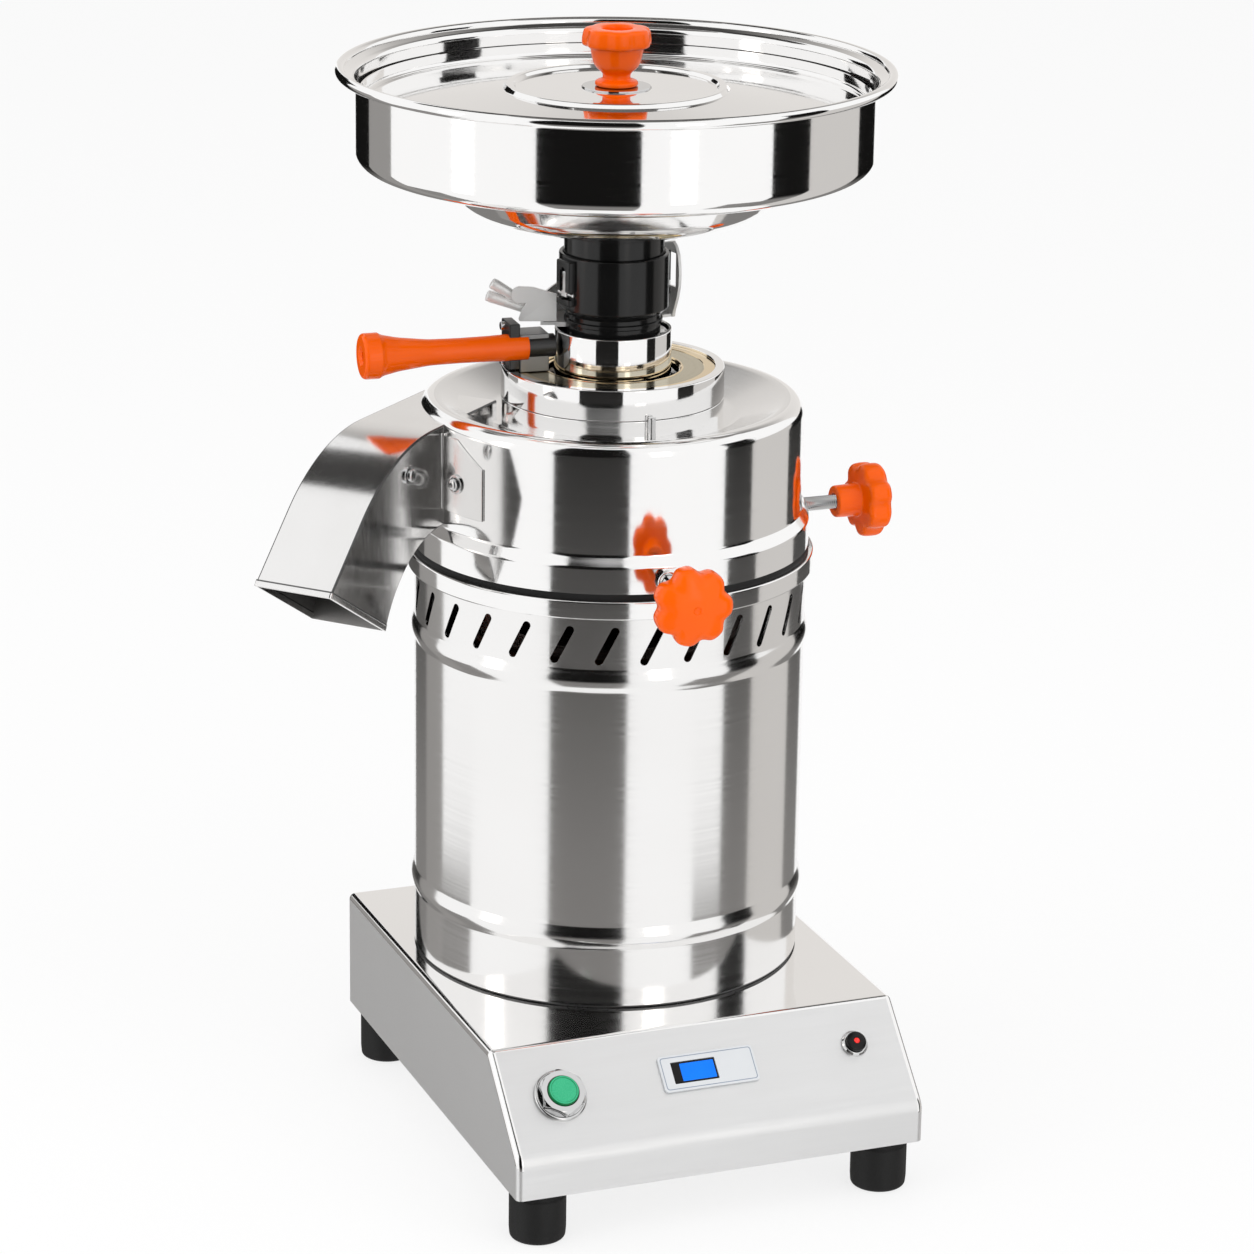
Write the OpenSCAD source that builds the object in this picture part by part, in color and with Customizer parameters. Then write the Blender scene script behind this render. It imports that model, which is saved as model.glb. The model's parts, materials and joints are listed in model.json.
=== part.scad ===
// Tabletop flour mill: sloped-front base, motor drum, grinding chamber with a curved chute,
// stone-gap adjuster with a lever, and a lift-off hopper with its lid.
// The drum's axis is Z, the table is z = 0 and the front panel faces -Y.

/* [Base] */
// Width of the base, side to side
base_w = 235; // [225:1:280]
// From the drum's axis to the back of the base
base_back = 111.5; // [111:0.5:150]
// From the drum's axis to the top edge of the sloping panel
base_top_front = 134.5; // [128:0.5:160]
// From the drum's axis to the front lip
base_front = 181.5; // [175:0.5:220]
// Height of the base box without its feet
base_h = 67.5; // [64:0.5:90]
// Height of the upright lip under the sloping panel
base_lip_h = 22; // [16:0.5:28]
// Thickness of the base's sheet steel
base_sheet = 1.2; // [0.8:0.1:2]
// Outer radius of the base's folds
base_bend_r = 4; // [2.5:0.5:6]
// Thickness of the bottom plate
plate_t = 1.5; // [1:0.1:3]
// Height of a rubber foot
foot_h = 29.5; // [20:0.5:40]
// Radius of a rubber foot
foot_r = 15.4; // [13:0.1:17]
// From the base's edges to a foot's centre
foot_inset = 18; // [18:0.5:30]
// Radius of the foot bolts' shanks
foot_bolt_r = 3; // [2.5:0.5:4]

/* [Front panel] */
// Push button's centre, from the base's left side
button_x = 32.7; // [22:0.1:47]
// Push button's centre, down the slope from its top edge
button_v = 31; // [24:0.5:40]
// Radius of the push button's cap
button_r = 8.5; // [7:0.1:9.5]
// Travel of the push button
button_travel = 3; // [2:0.5:4]
// Height of the button's cap above its nut
button_proud = 5; // [4.5:0.5:7]
// Display's centre, right of the axis
display_x = 0.9; // [-15:0.1:15]
// Display's centre, down the slope from its top edge
display_v = 28; // [24:0.5:40]
// Width of the display's frame
display_w = 55; // [45:0.5:65]
// Height of the display's frame
display_h = 21; // [18:0.5:26]
// Width of the screen
screen_w = 25; // [18:0.5:30]
// Height of the screen
screen_h = 12; // [9:0.5:15]
// Screen's centre, left of the frame's centre
screen_left = 8.1; // [4:0.1:10]
// Indicator lamp's centre, from the base's right side
indicator_x = 29.8; // [22:0.1:47]
// Indicator lamp's centre, down the slope from its top edge
indicator_v = 25.4; // [18:0.1:40]
// Radius of the indicator lamp's ring
indicator_r = 7.5; // [6:0.1:9]

/* [Cord inlet] */
// Cord gland's centre, right of the axis
gland_x = 60; // [30:1:90]
// Cord gland's centre above the bottom of the base
gland_z = 33; // [20:1:45]
// Radius of the gland's cord bore
gland_bore_r = 4; // [3:0.1:5]
// Radius of the gland's threaded neck
gland_neck_r = 8; // [7:0.1:10]

/* [Motor drum] */
// Radius of the drum
shell_r = 108; // [104:0.5:109]
// Height of the drum
shell_h = 223.3; // [200:0.1:260]
// Thickness of the drum's sheet steel
shell_sheet = 1.2; // [0.8:0.1:2]
// Height of the lower bead's middle above the base
low_bead_z = 40.6; // [25:0.1:60]
// Depth of the upper bead's middle below the drum's top
high_bead_z = 35.7; // [35:0.1:55]
// Height of a bead
bead_h = 13.6; // [10:0.1:16]
// How far a bead stands out
bead_out = 1.8; // [1:0.1:3]
// Number of vent slots
vent_count = 28; // [20:1:32]
// Depth of the vent slots' middle below the drum's top
vent_z = 15.8; // [13:0.1:17]
// Height that a vent slot takes
vent_h = 21; // [15:0.5:22]
// Width of a vent slot
vent_w = 4.5; // [3:0.1:6]
// Lean of a vent slot from the upright
vent_lean = 26.5; // [0:0.5:32]
// Angle of the first vent slot from the front
vent_phase = -21.6; // [-30:0.1:30]
// Thickness of the flange's rim
flange_t = 10; // [8:0.5:14]
// How far the flange's rim stands out past the drum
flange_lip = 4; // [3:0.1:6]
// Thickness of the gasket
gasket_t = 3.5; // [2:0.1:5]
// Radius of the rotor
rotor_r = 48; // [40:0.5:54]
// Length of the rotor and stator cores
core_h = 84; // [70:1:90]
// Radius of the motor's shaft
shaft_r = 12.5; // [10:0.5:14]
// Radius of the tie bolts
tie_r = 4; // [3:0.5:5]
// Radius of the cooling fan
fan_r = 76; // [60:1:80]

/* [Grinding chamber] */
// How far the chamber's skirt stands out past the drum
skirt_out = 1.2; // [0.6:0.1:2]
// Height of the chamber's skirt
skirt_h = 14.4; // [14.4:0.1:18]
// Height of the step above the skirt
step_h = 5.3; // [4:0.1:8]
// How far the wall steps in above the skirt
step_in = 4.2; // [3:0.1:6]
// Height of the chamber from the gasket to its crest
chamber_h = 80.7; // [78:0.1:90]
// Depth of the dished top below the crest
dish_depth = 10; // [6:0.5:11]
// Thickness of the chamber's sheet steel
chamber_sheet = 1.5; // [1:0.1:2.5]
// Radius of the stones
stone_r = 80; // [70:1:84]
// Thickness of a stone
stone_t = 16; // [12:0.5:17]
// Radius of the eye in the stones
stone_eye_r = 22; // [20:0.5:26]
// Gap between the stones at rest
stone_gap = 1.5; // [1.3:0.1:2]

/* [Chute] */
// Direction of the chute, from the front towards the right
chute_az = -47.7; // [-52:0.1:-44]
// Chute's right wall, left of the line through the axis
chute_offset = 55.5; // [50:0.5:57]
// Width of the chute
chute_w = 45.7; // [38:0.1:48]
// Thickness of the chute's sheet steel
chute_sheet = 1.2; // [0.8:0.1:2]
// Radius of the chute's outer sheet
chute_outer_r = 110; // [100:1:120]
// Bend of the chute's outer sheet
chute_outer_bend = 43.7; // [38:0.1:48]
// Straight run of the outer sheet after its bend
chute_run = 47.7; // [35:0.1:55]
// Radius of the chute's inner sheet
chute_inner_r = 67.6; // [60:0.1:72]
// Bend of the chute's inner sheet
chute_inner_bend = 68; // [60:1:72]

/* [Adjuster] */
// Radius of the fixed ring and the adjuster cap
ring_r = 61; // [58:0.5:66]
// Height of the fixed ring
ring_h = 10.5; // [8:0.5:14]
// Height of the adjuster cap
cap_h = 16.8; // [15:0.1:20]
// Radius of the quill that carries the upper stone
quill_r = 45; // [42:0.5:47]
// Radius of the feed collar
collar_r = 32; // [31:0.1:34]
// Height of the feed collar above the adjuster cap
collar_h = 20.3; // [20:0.1:24]
// Radius of the grain's way through collar and coupler
throat_r = 20; // [16:0.5:20.5]
// Direction of the lever at rest, from the front towards the right
lever_az = -94; // [-100:1:-80]
// Height of the lever's middle above the adjuster cap
lever_z = 12.1; // [11.8:0.1:12.3]
// Radius of the lever's tube
lever_r = 7; // [6:0.1:7.2]
// From the axis to the end of the lever's grip
lever_reach = 141; // [120:1:160]
// Radius of the flared end of the grip
grip_end_r = 12.5; // [9:0.1:14]

/* [Hopper] */
// Radius of the coupler's body
coupler_r = 30; // [29:0.1:31]
// Height of the coupler's body
coupler_h = 29.7; // [27:0.1:34]
// Radius of the hopper's spigot
spigot_r = 27.3; // [26:0.1:28]
// Radius of the hopper's wall
hopper_r = 140; // [130:0.5:160]
// Height of the hopper's wall, from its shelf to its rim
hopper_wall_h = 50.5; // [45:0.5:80]
// How far the rim stands out past the wall
rim_out = 7.7; // [5:0.1:10]
// Radius of the rim's rolled edge
rim_roll_r = 2.8; // [2:0.1:4]
// Radius of the dish under the hopper's shelf
dish_r = 95; // [80:1:110]
// Depth of the dish under the hopper's shelf
dish_h = 27; // [22:0.5:36]
// Thickness of the hopper's sheet steel
hopper_sheet = 1; // [0.8:0.1:2]
// Depth of the lid's edge below the rim
lid_depth = 17.5; // [14:0.5:24]
// Rise of the lid from its edge to its raised middle
lid_rise = 8.5; // [5:0.5:12]
// Height of the lid's knob
lid_knob_h = 32; // [26:0.5:36]
// Radius of the lid's knob
lid_knob_r = 18.4; // [16:0.1:22]

/* [Clamp screws] */
// Direction of the front clamp screw, from the front towards the right
front_clamp_az = -5; // [-12:1:12]
// Direction of the right clamp screw, from the front towards the right
right_clamp_az = 90; // [80:1:100]
// Direction of the rear clamp screw, from the front towards the right
rear_clamp_az = 180; // [170:1:190]
// Radius of a clamp screw
stud_r = 4; // [3:0.5:5]
// Length of bare screw between the chamber and the knob
stud_bare = 20; // [14:0.5:26]
// Radius of a star knob
star_r = 21; // [17:0.5:23]
// Thickness of a star knob's head
star_t = 17; // [14:0.5:20]
// Number of a star knob's lobes
star_lobes = 7; // [5:1:9]
// Radius of a star knob's hub
hub_r = 9.3; // [8:0.1:11]
// Length of a star knob's hub
hub_h = 14; // [10:0.5:18]

/* [Hidden] */
$fn = 96;
// Gap of a running fit
run_gap = 0.06;
// Gap of a close fit between pieces of one body
slip_gap = 0.02;
// Gap of a loose fit between fixed pieces
fit_gap = 0.15;
// Gap between pieces that move past each other
move_gap = 0.3;
// Overlap that makes a cut pass a face
cut = 1;
// Points along a formed bend
bend_steps = 8;

// Levels of the base and the drum
z_base = foot_h;
z_fold = z_base + base_lip_h;
z_top = z_base + base_h;
z_plate = z_base + plate_t;
panel_slope = atan2(z_top - z_fold, base_front - base_top_front);
z_flange = z_top + shell_h;
z_gasket = z_flange + flange_t;
z_chamber = z_gasket + gasket_t;

// Motor, from the flange down
flange_r = shell_r + flange_lip;
skirt_r = shell_r + skirt_out;
chamber_r = skirt_r - step_in;
spigot_wall_r = skirt_r - chamber_sheet - 0.9;
spigot_wall_t = 8;
floor_z = z_chamber + 12;
floor_t = 6;
stator_r = shell_r - shell_sheet - bead_out - 9;
air_gap = 0.4;
tie_pcd_r = stator_r - 2.2 * tie_r;
tie_bite = 3;
bearing_r = shaft_r + 13.5;
bearing_h = 15;
bearing_z = z_flange + flange_t - 22;
small_shaft_r = shaft_r - 2.5;
small_bearing_r = small_shaft_r + 11;
small_bearing_h = 12;
winding_h = 26;
winding_w = 27.7;
winding_out = tie_pcd_r - tie_r - 2.5;
winding_in = winding_out - winding_w;
motor_head_room = 16;
fan_room = 28;
tie_head_h = 6;
motor_h = motor_head_room + core_h + 2 * winding_h + fan_room + tie_head_h;
spare_above = 0.4826 * (shell_h - motor_h);
core_z1 = z_flange - motor_head_room - winding_h - spare_above;
core_z0 = core_z1 - core_h;
shield_t = 6;
shield_z = core_z0 - winding_h - fan_room;
fan_z = core_z0 - winding_h - 17;
shaft_z0 = shield_z - tie_head_h;

// Grinding chamber
z_crest = z_chamber + chamber_h;
z_dish = z_crest - dish_depth;
runner_z = floor_z + 3;
runner_t = 7;
runner_stone_z = runner_z + runner_t;
upper_stone_z = runner_stone_z + stone_t + stone_gap;
carrier_z = upper_stone_z + stone_t;
carrier_t = 4.5;
runner_bore_r = small_shaft_r;
chamber_inner_r = chamber_r - chamber_sheet;
outlet_depth = 8;

// Adjuster, from the chamber's dished top up
z_ring = z_dish;
z_seam = z_ring + ring_h;
seam_gap = 0.3;
z_cap = z_seam + seam_gap;
z_cap_top = z_cap + cap_h;
thread_r = ring_r - 5;
thread_h = 8;
cap_plate_t = 3.5;
dial_t = 2;
dial_recess = 1.4;
dial_z = z_cap_top - dial_recess - dial_t;
cap_hole_r = collar_r + 4.2;
quill_top = z_seam + 3;
collar_foot_t = 3;
collar_top = z_cap_top + collar_h;
ledge_depth = 2.4;
pin_r = 2.2;
pin_az = -1.6;
lever_mid_z = z_cap_top + lever_z;
lever_start = collar_r + 1.5;
clamp_in = cap_hole_r + 1;
clamp_out = ring_r - 7.5;
clamp_back = 13;
clamp_front = 4;
clamp_top = lever_mid_z + lever_r + 0.5;
saddle_t = 6;
saddle_z = z_cap_top + 0.4;
saddle_top = clamp_top + 6;
lever_bolt_r = 2.4;
grip_start = collar_r + 16.8;
grip_socket_h = 14;
grip_wall = 1.2;
grip_waist_r = lever_r - 0.2;
lever_core_r = lever_r - 2.2;
grip_end_h = 11;

// Coupler on the feed collar, and the hopper's spigot
tail_r = 24.5;
neck_r = tail_r + 1.2;
tail_z = collar_top - 8;
body_z = collar_top + 12.6;
body_top = body_z + coupler_h;
taper_h = 4;
socket_r = spigot_r + move_gap;
socket_z = body_z + 5;
cam_az = -78;
pad_w = 13;
pad_out = 3;
cam_w = 5;
cam_t = 3.6;
cam_len = 13;
cam_pin_r = 1;
cam_pin_at = coupler_r + 0.6;
cam_pin_z = body_z + 9.4;
bracket_gap = 0.9;
cam_window_w = cam_w + 2.4;
cam_window_low = 4;
bracket_r = coupler_r + pad_out + cam_t + 1.4;
bracket_t = 1.6;
bracket_z = collar_top + bracket_gap;
bracket_from = 66;
bracket_to = 262;
bracket_low = 24;
bracket_high = 46;
bracket_rise = 15.8;
bracket_tilt_az = -21;
ear_az = -107;
ear_out = 56;
ear_z = saddle_top + 1.6;
ear_top = bracket_z + bracket_low;
lock_pin_at = 51;
lock_pin_r = 2;
lock_pin_z = bracket_z + 17;
lock_t = 5;

// Hopper, from the coupler up
spigot_z = socket_z + move_gap;
z_shelf = body_top + 47.8;
z_dish_low = z_shelf - dish_h;
z_rim = z_shelf + hopper_wall_h;
spigot_flange_r = spigot_r + 9;
spigot_flange_t = 3;
spigot_ring_r = spigot_r + 1.2;
spigot_ring_h = 7;
spigot_ring_z = z_dish_low - 10.5;
z_lid = z_rim - lid_depth;
lid_r = hopper_r - hopper_sheet - 1.6;
lid_sheet = 1;
lid_lip_h = 7;
lid_ring_r = 57.2;
lid_ring_w = 7;
lid_ring_h = 2;
z_lid_mid = z_lid + lid_rise;
z_ledge = z_lid - lid_sheet - move_gap;
ledge_w = 6;
ledge_t = 1.5;
washer_r = 18.7;
washer_t = 0.8;
lid_screw_r = 2.5;

// Clamp screws
clamp_az = [front_clamp_az, right_clamp_az, rear_clamp_az];
clamp_z = z_chamber + skirt_h / 2;
boss_r = 6.5;
boss_h = 5;
stud_tip = spigot_wall_r + 0.1;
knob_at = skirt_r + boss_h + stud_bare;

// Points of an arc about a centre, from one angle to another
function arc(c, r, a0, a1, n = bend_steps) =
    [for (i = [0:n]) let (a = a0 + (a1 - a0) * i / n) [c[0] + r * cos(a), c[1] + r * sin(a)]];

function unit(v) = v / norm(v);
function left_of(v) = [-v[1], v[0]];

// A corner of a path, rounded to a radius
function round_corner(a, b, c, r, n = bend_steps) =
    let (u = unit(a - b), v = unit(c - b), half = acos(u * v) / 2)
    let (reach = r / tan(half), mid = b + unit(u + v) * r / sin(half))
    let (p = b + u * reach - mid, q = b + v * reach - mid)
    let (a0 = atan2(p[1], p[0]), turn = atan2(p[0] * q[1] - p[1] * q[0], p * q))
    arc(mid, r, a0, a0 + turn, n);

// An open path whose inner corners are rounded to their radii
function rounded(path, radii) = [
    for (i = [0:len(path) - 1])
        for (p = (i == 0 || i == len(path) - 1 || radii[i] == 0)
            ? [path[i]] : round_corner(path[i - 1], path[i], path[i + 1], radii[i])) p
];

// An open path moved sideways to its left
function beside(p, t) = [
    for (i = [0:len(p) - 1])
        let (before = i == 0 ? p[1] - p[0] : p[i] - p[i - 1])
        let (after = i == len(p) - 1 ? before : p[i + 1] - p[i])
        let (m = unit(left_of(unit(before)) + left_of(unit(after))))
        p[i] + m * t / (m * left_of(unit(before)))
];

function reversed(p) = [for (i = [len(p) - 1:-1:0]) p[i]];

// The bulge of a rolled bead as a path up a wall
function bead(r, z_mid, h, out, n = 10) =
    [for (i = [0:n]) [r + out * pow(sin(180 * i / n), 2), z_mid - h / 2 + h * i / n]];

// A sheet of even thickness along a path, turned about the axis
module spun_sheet(path, t) {
    rotate_extrude() polygon(concat(path, reversed(beside(path, t))));
}

module pipe(r_out, r_in, z0, z1) {
    difference() {
        translate([0, 0, z0]) cylinder(r = r_out, h = z1 - z0);
        translate([0, 0, z0 - cut]) cylinder(r = r_in, h = z1 - z0 + 2 * cut);
    }
}

// Turns the front direction to an angle from the front, towards the right
module facing(az) {
    rotate([0, 0, az]) children();
}

// Lays a round piece along the outward direction, starting at a distance from the axis
module outward(from, z) {
    translate([0, -from, z]) rotate([90, 0, 0]) children();
}

// Extrudes an outline drawn in forward and up coordinates, from x0 to x1
module across(x0, x1) {
    translate([x1, 0, 0]) rotate([90, 0, -90]) linear_extrude(x1 - x0) children();
}

// Puts a piece on the sloping panel, with its Z out of the panel
module on_panel(x, v) {
    translate([x, -base_top_front, z_top]) rotate([panel_slope, 0, 0])
        translate([0, -v, 0]) children();
}

module at_feet() {
    for (x = [-1, 1], y = [-base_front + foot_inset, base_back - foot_inset])
        translate([x * (base_w / 2 - foot_inset), y, 0]) children();
}

// Base

// The base's side outline, from the lower back edge over the top to the lower front edge
base_outline = rounded(
    [[-base_back, z_base], [-base_back, z_top], [base_top_front, z_top],
     [base_front, z_fold], [base_front, z_base]],
    [0, base_bend_r, base_bend_r, base_bend_r, 0]
);
base_inside = beside(base_outline, -base_sheet);
drum_hole_r = shell_r - 22;
button_at = -base_w / 2 + button_x;
indicator_at = base_w / 2 - indicator_x;
barrel_r = button_r + 2.5;
barrel_gap = 0.1;
window_gap = 0.3;
lamp_barrel_r = indicator_r - 2;

module base_housing() color("silver") {
    difference() {
        across(-base_w / 2, base_w / 2) polygon(base_outline);
        across(-base_w / 2 + base_sheet, base_w / 2 - base_sheet)
            polygon(concat([[base_inside[0][0], z_base - cut]], base_inside,
                [[base_inside[len(base_inside) - 1][0], z_base - cut]]));
        translate([0, 0, z_top - 5]) cylinder(r = drum_hole_r, h = 10);
        on_panel(button_at, button_v)
            translate([0, 0, -5]) cylinder(r = barrel_r + barrel_gap, h = 10);
        on_panel(indicator_at, indicator_v)
            translate([0, 0, -5]) cylinder(r = lamp_barrel_r + barrel_gap, h = 10);
        on_panel(display_x - screen_left, display_v)
            cube([screen_w + 2 * window_gap, screen_h + 2 * window_gap, 10], center = true);
        translate([gland_x, base_back + 5, z_base + gland_z])
            rotate([90, 0, 0]) cylinder(r = gland_neck_r + barrel_gap, h = 10);
    }
}

module base_plate() color("silver") {
    side = base_w / 2 - base_sheet - fit_gap;
    depth = base_front + base_back - 2 * (base_sheet + fit_gap);
    difference() {
        translate([-side, -base_front + base_sheet + fit_gap, z_base]) cube([2 * side, depth, plate_t]);
        at_feet() translate([0, 0, z_base - cut])
            cylinder(r = foot_bolt_r + fit_gap, h = plate_t + 2 * cut);
    }
}

foot_sink = 8;
foot_head_r = foot_bolt_r + 2.5;

module rubber_feet() color([0.05, 0.05, 0.05]) {
    edge = 2;
    at_feet() difference() {
        rotate_extrude() polygon(concat([[0, 0]],
            arc([foot_r - edge - 0.6, edge], edge, -90, 0),
            [[foot_r, foot_h], [0, foot_h]]));
        translate([0, 0, -cut]) cylinder(r = foot_head_r + 1, h = foot_sink + cut);
        cylinder(r = foot_bolt_r + fit_gap, h = foot_h + cut);
    }
}

module foot_bolts() color("gray") {
    head_h = 4;
    nut_h = 5;
    at_feet() {
        translate([0, 0, foot_sink - head_h]) cylinder(r = foot_head_r, h = head_h);
        translate([0, 0, foot_sink - 1]) cylinder(r = foot_bolt_r, h = z_plate + nut_h + 3 - foot_sink);
        translate([0, 0, z_plate]) cylinder(r = foot_head_r, h = nut_h, $fn = 6);
    }
}

bezel_t = 2.2;
nut_t = 4;
barrel_top = bezel_t + nut_t + 0.6;
barrel_depth = 30;

module button_bezel() color("silver") {
    rim = 1;
    on_panel(button_at, button_v) rotate_extrude() polygon(concat(
        [[barrel_r + barrel_gap, 0], [barrel_r + 3.6, 0]],
        arc([barrel_r + 3.6 - rim, bezel_t - rim], rim, 0, 90),
        [[barrel_r + barrel_gap, bezel_t]]));
}

module button_nut() color("silver") {
    on_panel(button_at, button_v) translate([0, 0, bezel_t]) difference() {
        intersection() {
            cylinder(r = barrel_r + 2, h = nut_t, $fn = 6);
            cylinder(r1 = barrel_r + 4, r2 = barrel_r + 1.2, h = nut_t);
        }
        translate([0, 0, -cut]) cylinder(r = barrel_r + barrel_gap, h = nut_t + 2 * cut);
    }
}

module button_cap() color("green") {
    edge = 0.8;
    stem = 4;
    top = barrel_top + button_proud;
    on_panel(button_at, button_v) rotate_extrude() polygon(concat(
        [[0, -stem], [button_r, -stem]],
        arc([button_r - edge, top - edge], edge, 0, 90),
        [[0, top]]));
}

module button_switch() color("dimgray") {
    on_panel(button_at, button_v) difference() {
        translate([0, 0, barrel_top - barrel_depth]) cylinder(r = barrel_r, h = barrel_depth);
        translate([0, 0, -4 - button_travel - move_gap])
            cylinder(r = button_r + move_gap, h = barrel_depth);
    }
}

frame_t = 1.6;
screen_depth = 9;

module display_frame() color("whitesmoke") {
    on_panel(display_x, display_v) difference() {
        translate([-display_w / 2, -display_h / 2, 0]) cube([display_w, display_h, frame_t]);
        translate([-screen_left, 0, 0])
            cube([screen_w + 2 * window_gap, screen_h + 2 * window_gap, 4 * frame_t], center = true);
    }
}

module display_screen() color("dodgerblue") {
    on_panel(display_x - screen_left, display_v)
        translate([-screen_w / 2, -screen_h / 2, -screen_depth])
            cube([screen_w, screen_h, screen_depth + frame_t - 0.4]);
}

lamp_h = 6;
face_t = 2.2;
face_sink = 3;
lamp_face_r = indicator_r - 1.2;
lamp_r = 1.6;

module indicator_bezel() color("silver") {
    on_panel(indicator_at, indicator_v) difference() {
        union() {
            cylinder(r = indicator_r, h = lamp_h);
            translate([0, 0, -16]) cylinder(r = lamp_barrel_r, h = 17);
        }
        translate([0, 0, lamp_h - face_sink]) cylinder(r = lamp_face_r, h = 4);
    }
}

module indicator_face() color([0.06, 0.06, 0.06]) {
    on_panel(indicator_at, indicator_v) translate([0, 0, lamp_h - face_sink]) difference() {
        cylinder(r = lamp_face_r - fit_gap, h = face_t);
        translate([0, 0, -cut]) cylinder(r = lamp_r + fit_gap, h = 5);
    }
}

module indicator_lamp() color("red") {
    on_panel(indicator_at, indicator_v) translate([0, 0, lamp_h - face_sink]) {
        cylinder(r = lamp_r, h = face_t);
        translate([0, 0, face_t]) intersection() {
            sphere(r = lamp_r);
            cylinder(r = lamp_r, h = lamp_r);
        }
    }
}

gland_flange_t = 5;
gland_dome_h = 15;
gland_inside = 12;

module cord_gland() color([0.08, 0.08, 0.08]) {
    translate([gland_x, base_back, z_base + gland_z]) rotate([-90, 0, 0]) difference() {
        union() {
            translate([0, 0, -gland_inside]) cylinder(r = gland_neck_r, h = gland_inside + 1);
            cylinder(r = gland_neck_r + 3.5, h = gland_flange_t, $fn = 6);
            translate([0, 0, gland_flange_t - 1])
                cylinder(r1 = gland_neck_r + 1, r2 = gland_bore_r + 2, h = gland_dome_h);
            translate([0, 0, -base_sheet - 4]) cylinder(r = gland_neck_r + 3, h = 4, $fn = 6);
        }
        translate([0, 0, -gland_inside - cut]) cylinder(r = gland_bore_r, h = gland_inside + gland_flange_t + gland_dome_h + 2 * cut);
    }
}

module capacitor() color("gainsboro") {
    can_r = 20;
    can_left = 60;
    can_back_gap = 35;
    can_head_room = 12.5;
    pin_h = 6;
    pin_apart = 12;
    can_h = base_h - can_head_room;
    translate([-can_left, base_back - can_back_gap - can_r, z_plate]) {
        cylinder(r = can_r, h = can_h);
        for (x = [-pin_apart / 2, pin_apart / 2]) translate([x, 0, can_h]) cylinder(r = 1.5, h = pin_h);
    }
}

// Motor drum

drum_foot_w = 8;
shell_path = concat(
    [[shell_r - drum_foot_w, z_top], [shell_r, z_top]],
    bead(shell_r, z_top + low_bead_z, bead_h, bead_out),
    bead(shell_r, z_flange - high_bead_z, bead_h, bead_out),
    [[shell_r, z_flange]]
);

module vent_slot() {
    run = vent_h / cos(vent_lean) - vent_w;
    depth = 12;
    outward(shell_r - depth / 2, z_flange - vent_z) rotate([0, 0, -vent_lean]) {
        translate([-vent_w / 2, -run / 2, 0]) cube([vent_w, run, depth]);
        for (y = [-run / 2, run / 2]) translate([0, y, 0]) cylinder(r = vent_w / 2, h = depth);
    }
}

module motor_shell() color("lightgray") {
    difference() {
        spun_sheet(shell_path, shell_sheet);
        for (i = [0:vent_count - 1]) facing(vent_phase + i * 360 / vent_count) vent_slot();
    }
}

// Top-hat casting: rim on the drum, spigot under the chamber's skirt, floor and bearing hub
module motor_flange() color("silver") {
    hub_wall = 8;
    hub_z = bearing_z - 4;
    rim_in = spigot_wall_r - spigot_wall_t;
    difference() {
        rotate_extrude() polygon([
            [shaft_r + 0.6, hub_z], [bearing_r + hub_wall, hub_z],
            [bearing_r + hub_wall, floor_z - floor_t], [rim_in, floor_z - floor_t],
            [rim_in, z_flange], [flange_r, z_flange], [flange_r, z_gasket],
            [spigot_wall_r, z_gasket], [spigot_wall_r, floor_z], [shaft_r + 0.6, floor_z]
        ]);
        translate([0, 0, bearing_z]) cylinder(r = bearing_r, h = bearing_h);
        for (i = [0:3]) rotate([0, 0, 45 + 90 * i]) translate([tie_pcd_r, 0, z_flange - cut])
            cylinder(r = tie_r + fit_gap, h = floor_z - floor_t - z_flange + tie_bite + fit_gap + cut);
    }
}

module lower_shield() color("darkgray") {
    hub_out = small_bearing_r + 6;
    rim_in = tie_pcd_r - tie_r - 4;
    difference() {
        union() {
            pipe(stator_r, rim_in, shield_z, shield_z + shield_t);
            pipe(hub_out, small_shaft_r + 0.8, shield_z - 4, shield_z + small_bearing_h - 2);
            for (i = [0:3]) rotate([0, 0, 45 + 90 * i])
                translate([hub_out - 2, -8, shield_z]) cube([rim_in - hub_out + 4, 16, shield_t]);
        }
        translate([0, 0, shield_z - 1]) cylinder(r = small_bearing_r, h = small_bearing_h + 5);
        for (i = [0:3]) rotate([0, 0, 45 + 90 * i]) translate([tie_pcd_r, 0, shield_z - cut])
            cylinder(r = tie_r + fit_gap, h = shield_t + 2 * cut);
    }
}

module tie_bolts() color("gray") {
    top = floor_z - floor_t + tie_bite;
    for (i = [0:3]) rotate([0, 0, 45 + 90 * i]) translate([tie_pcd_r, 0, 0]) {
        translate([0, 0, shield_z - tie_head_h / 2])
            cylinder(r = tie_r, h = top - shield_z + tie_head_h / 2);
        translate([0, 0, shield_z - tie_head_h]) cylinder(r = 1.7 * tie_r, h = tie_head_h, $fn = 6);
        translate([0, 0, shield_z + shield_t]) difference() {
            cylinder(r = 1.6 * tie_r, h = core_z0 - shield_z - shield_t);
            translate([0, 0, -cut]) cylinder(r = tie_r - 0.5, h = core_z0 - shield_z);
        }
    }
}

module stator_core() color("dimgray") {
    difference() {
        pipe(stator_r, rotor_r + air_gap, core_z0, core_z1);
        for (i = [0:3]) rotate([0, 0, 45 + 90 * i]) translate([tie_pcd_r, 0, core_z0 - cut])
            cylinder(r = tie_r + fit_gap, h = core_h + 2 * cut);
    }
}

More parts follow.
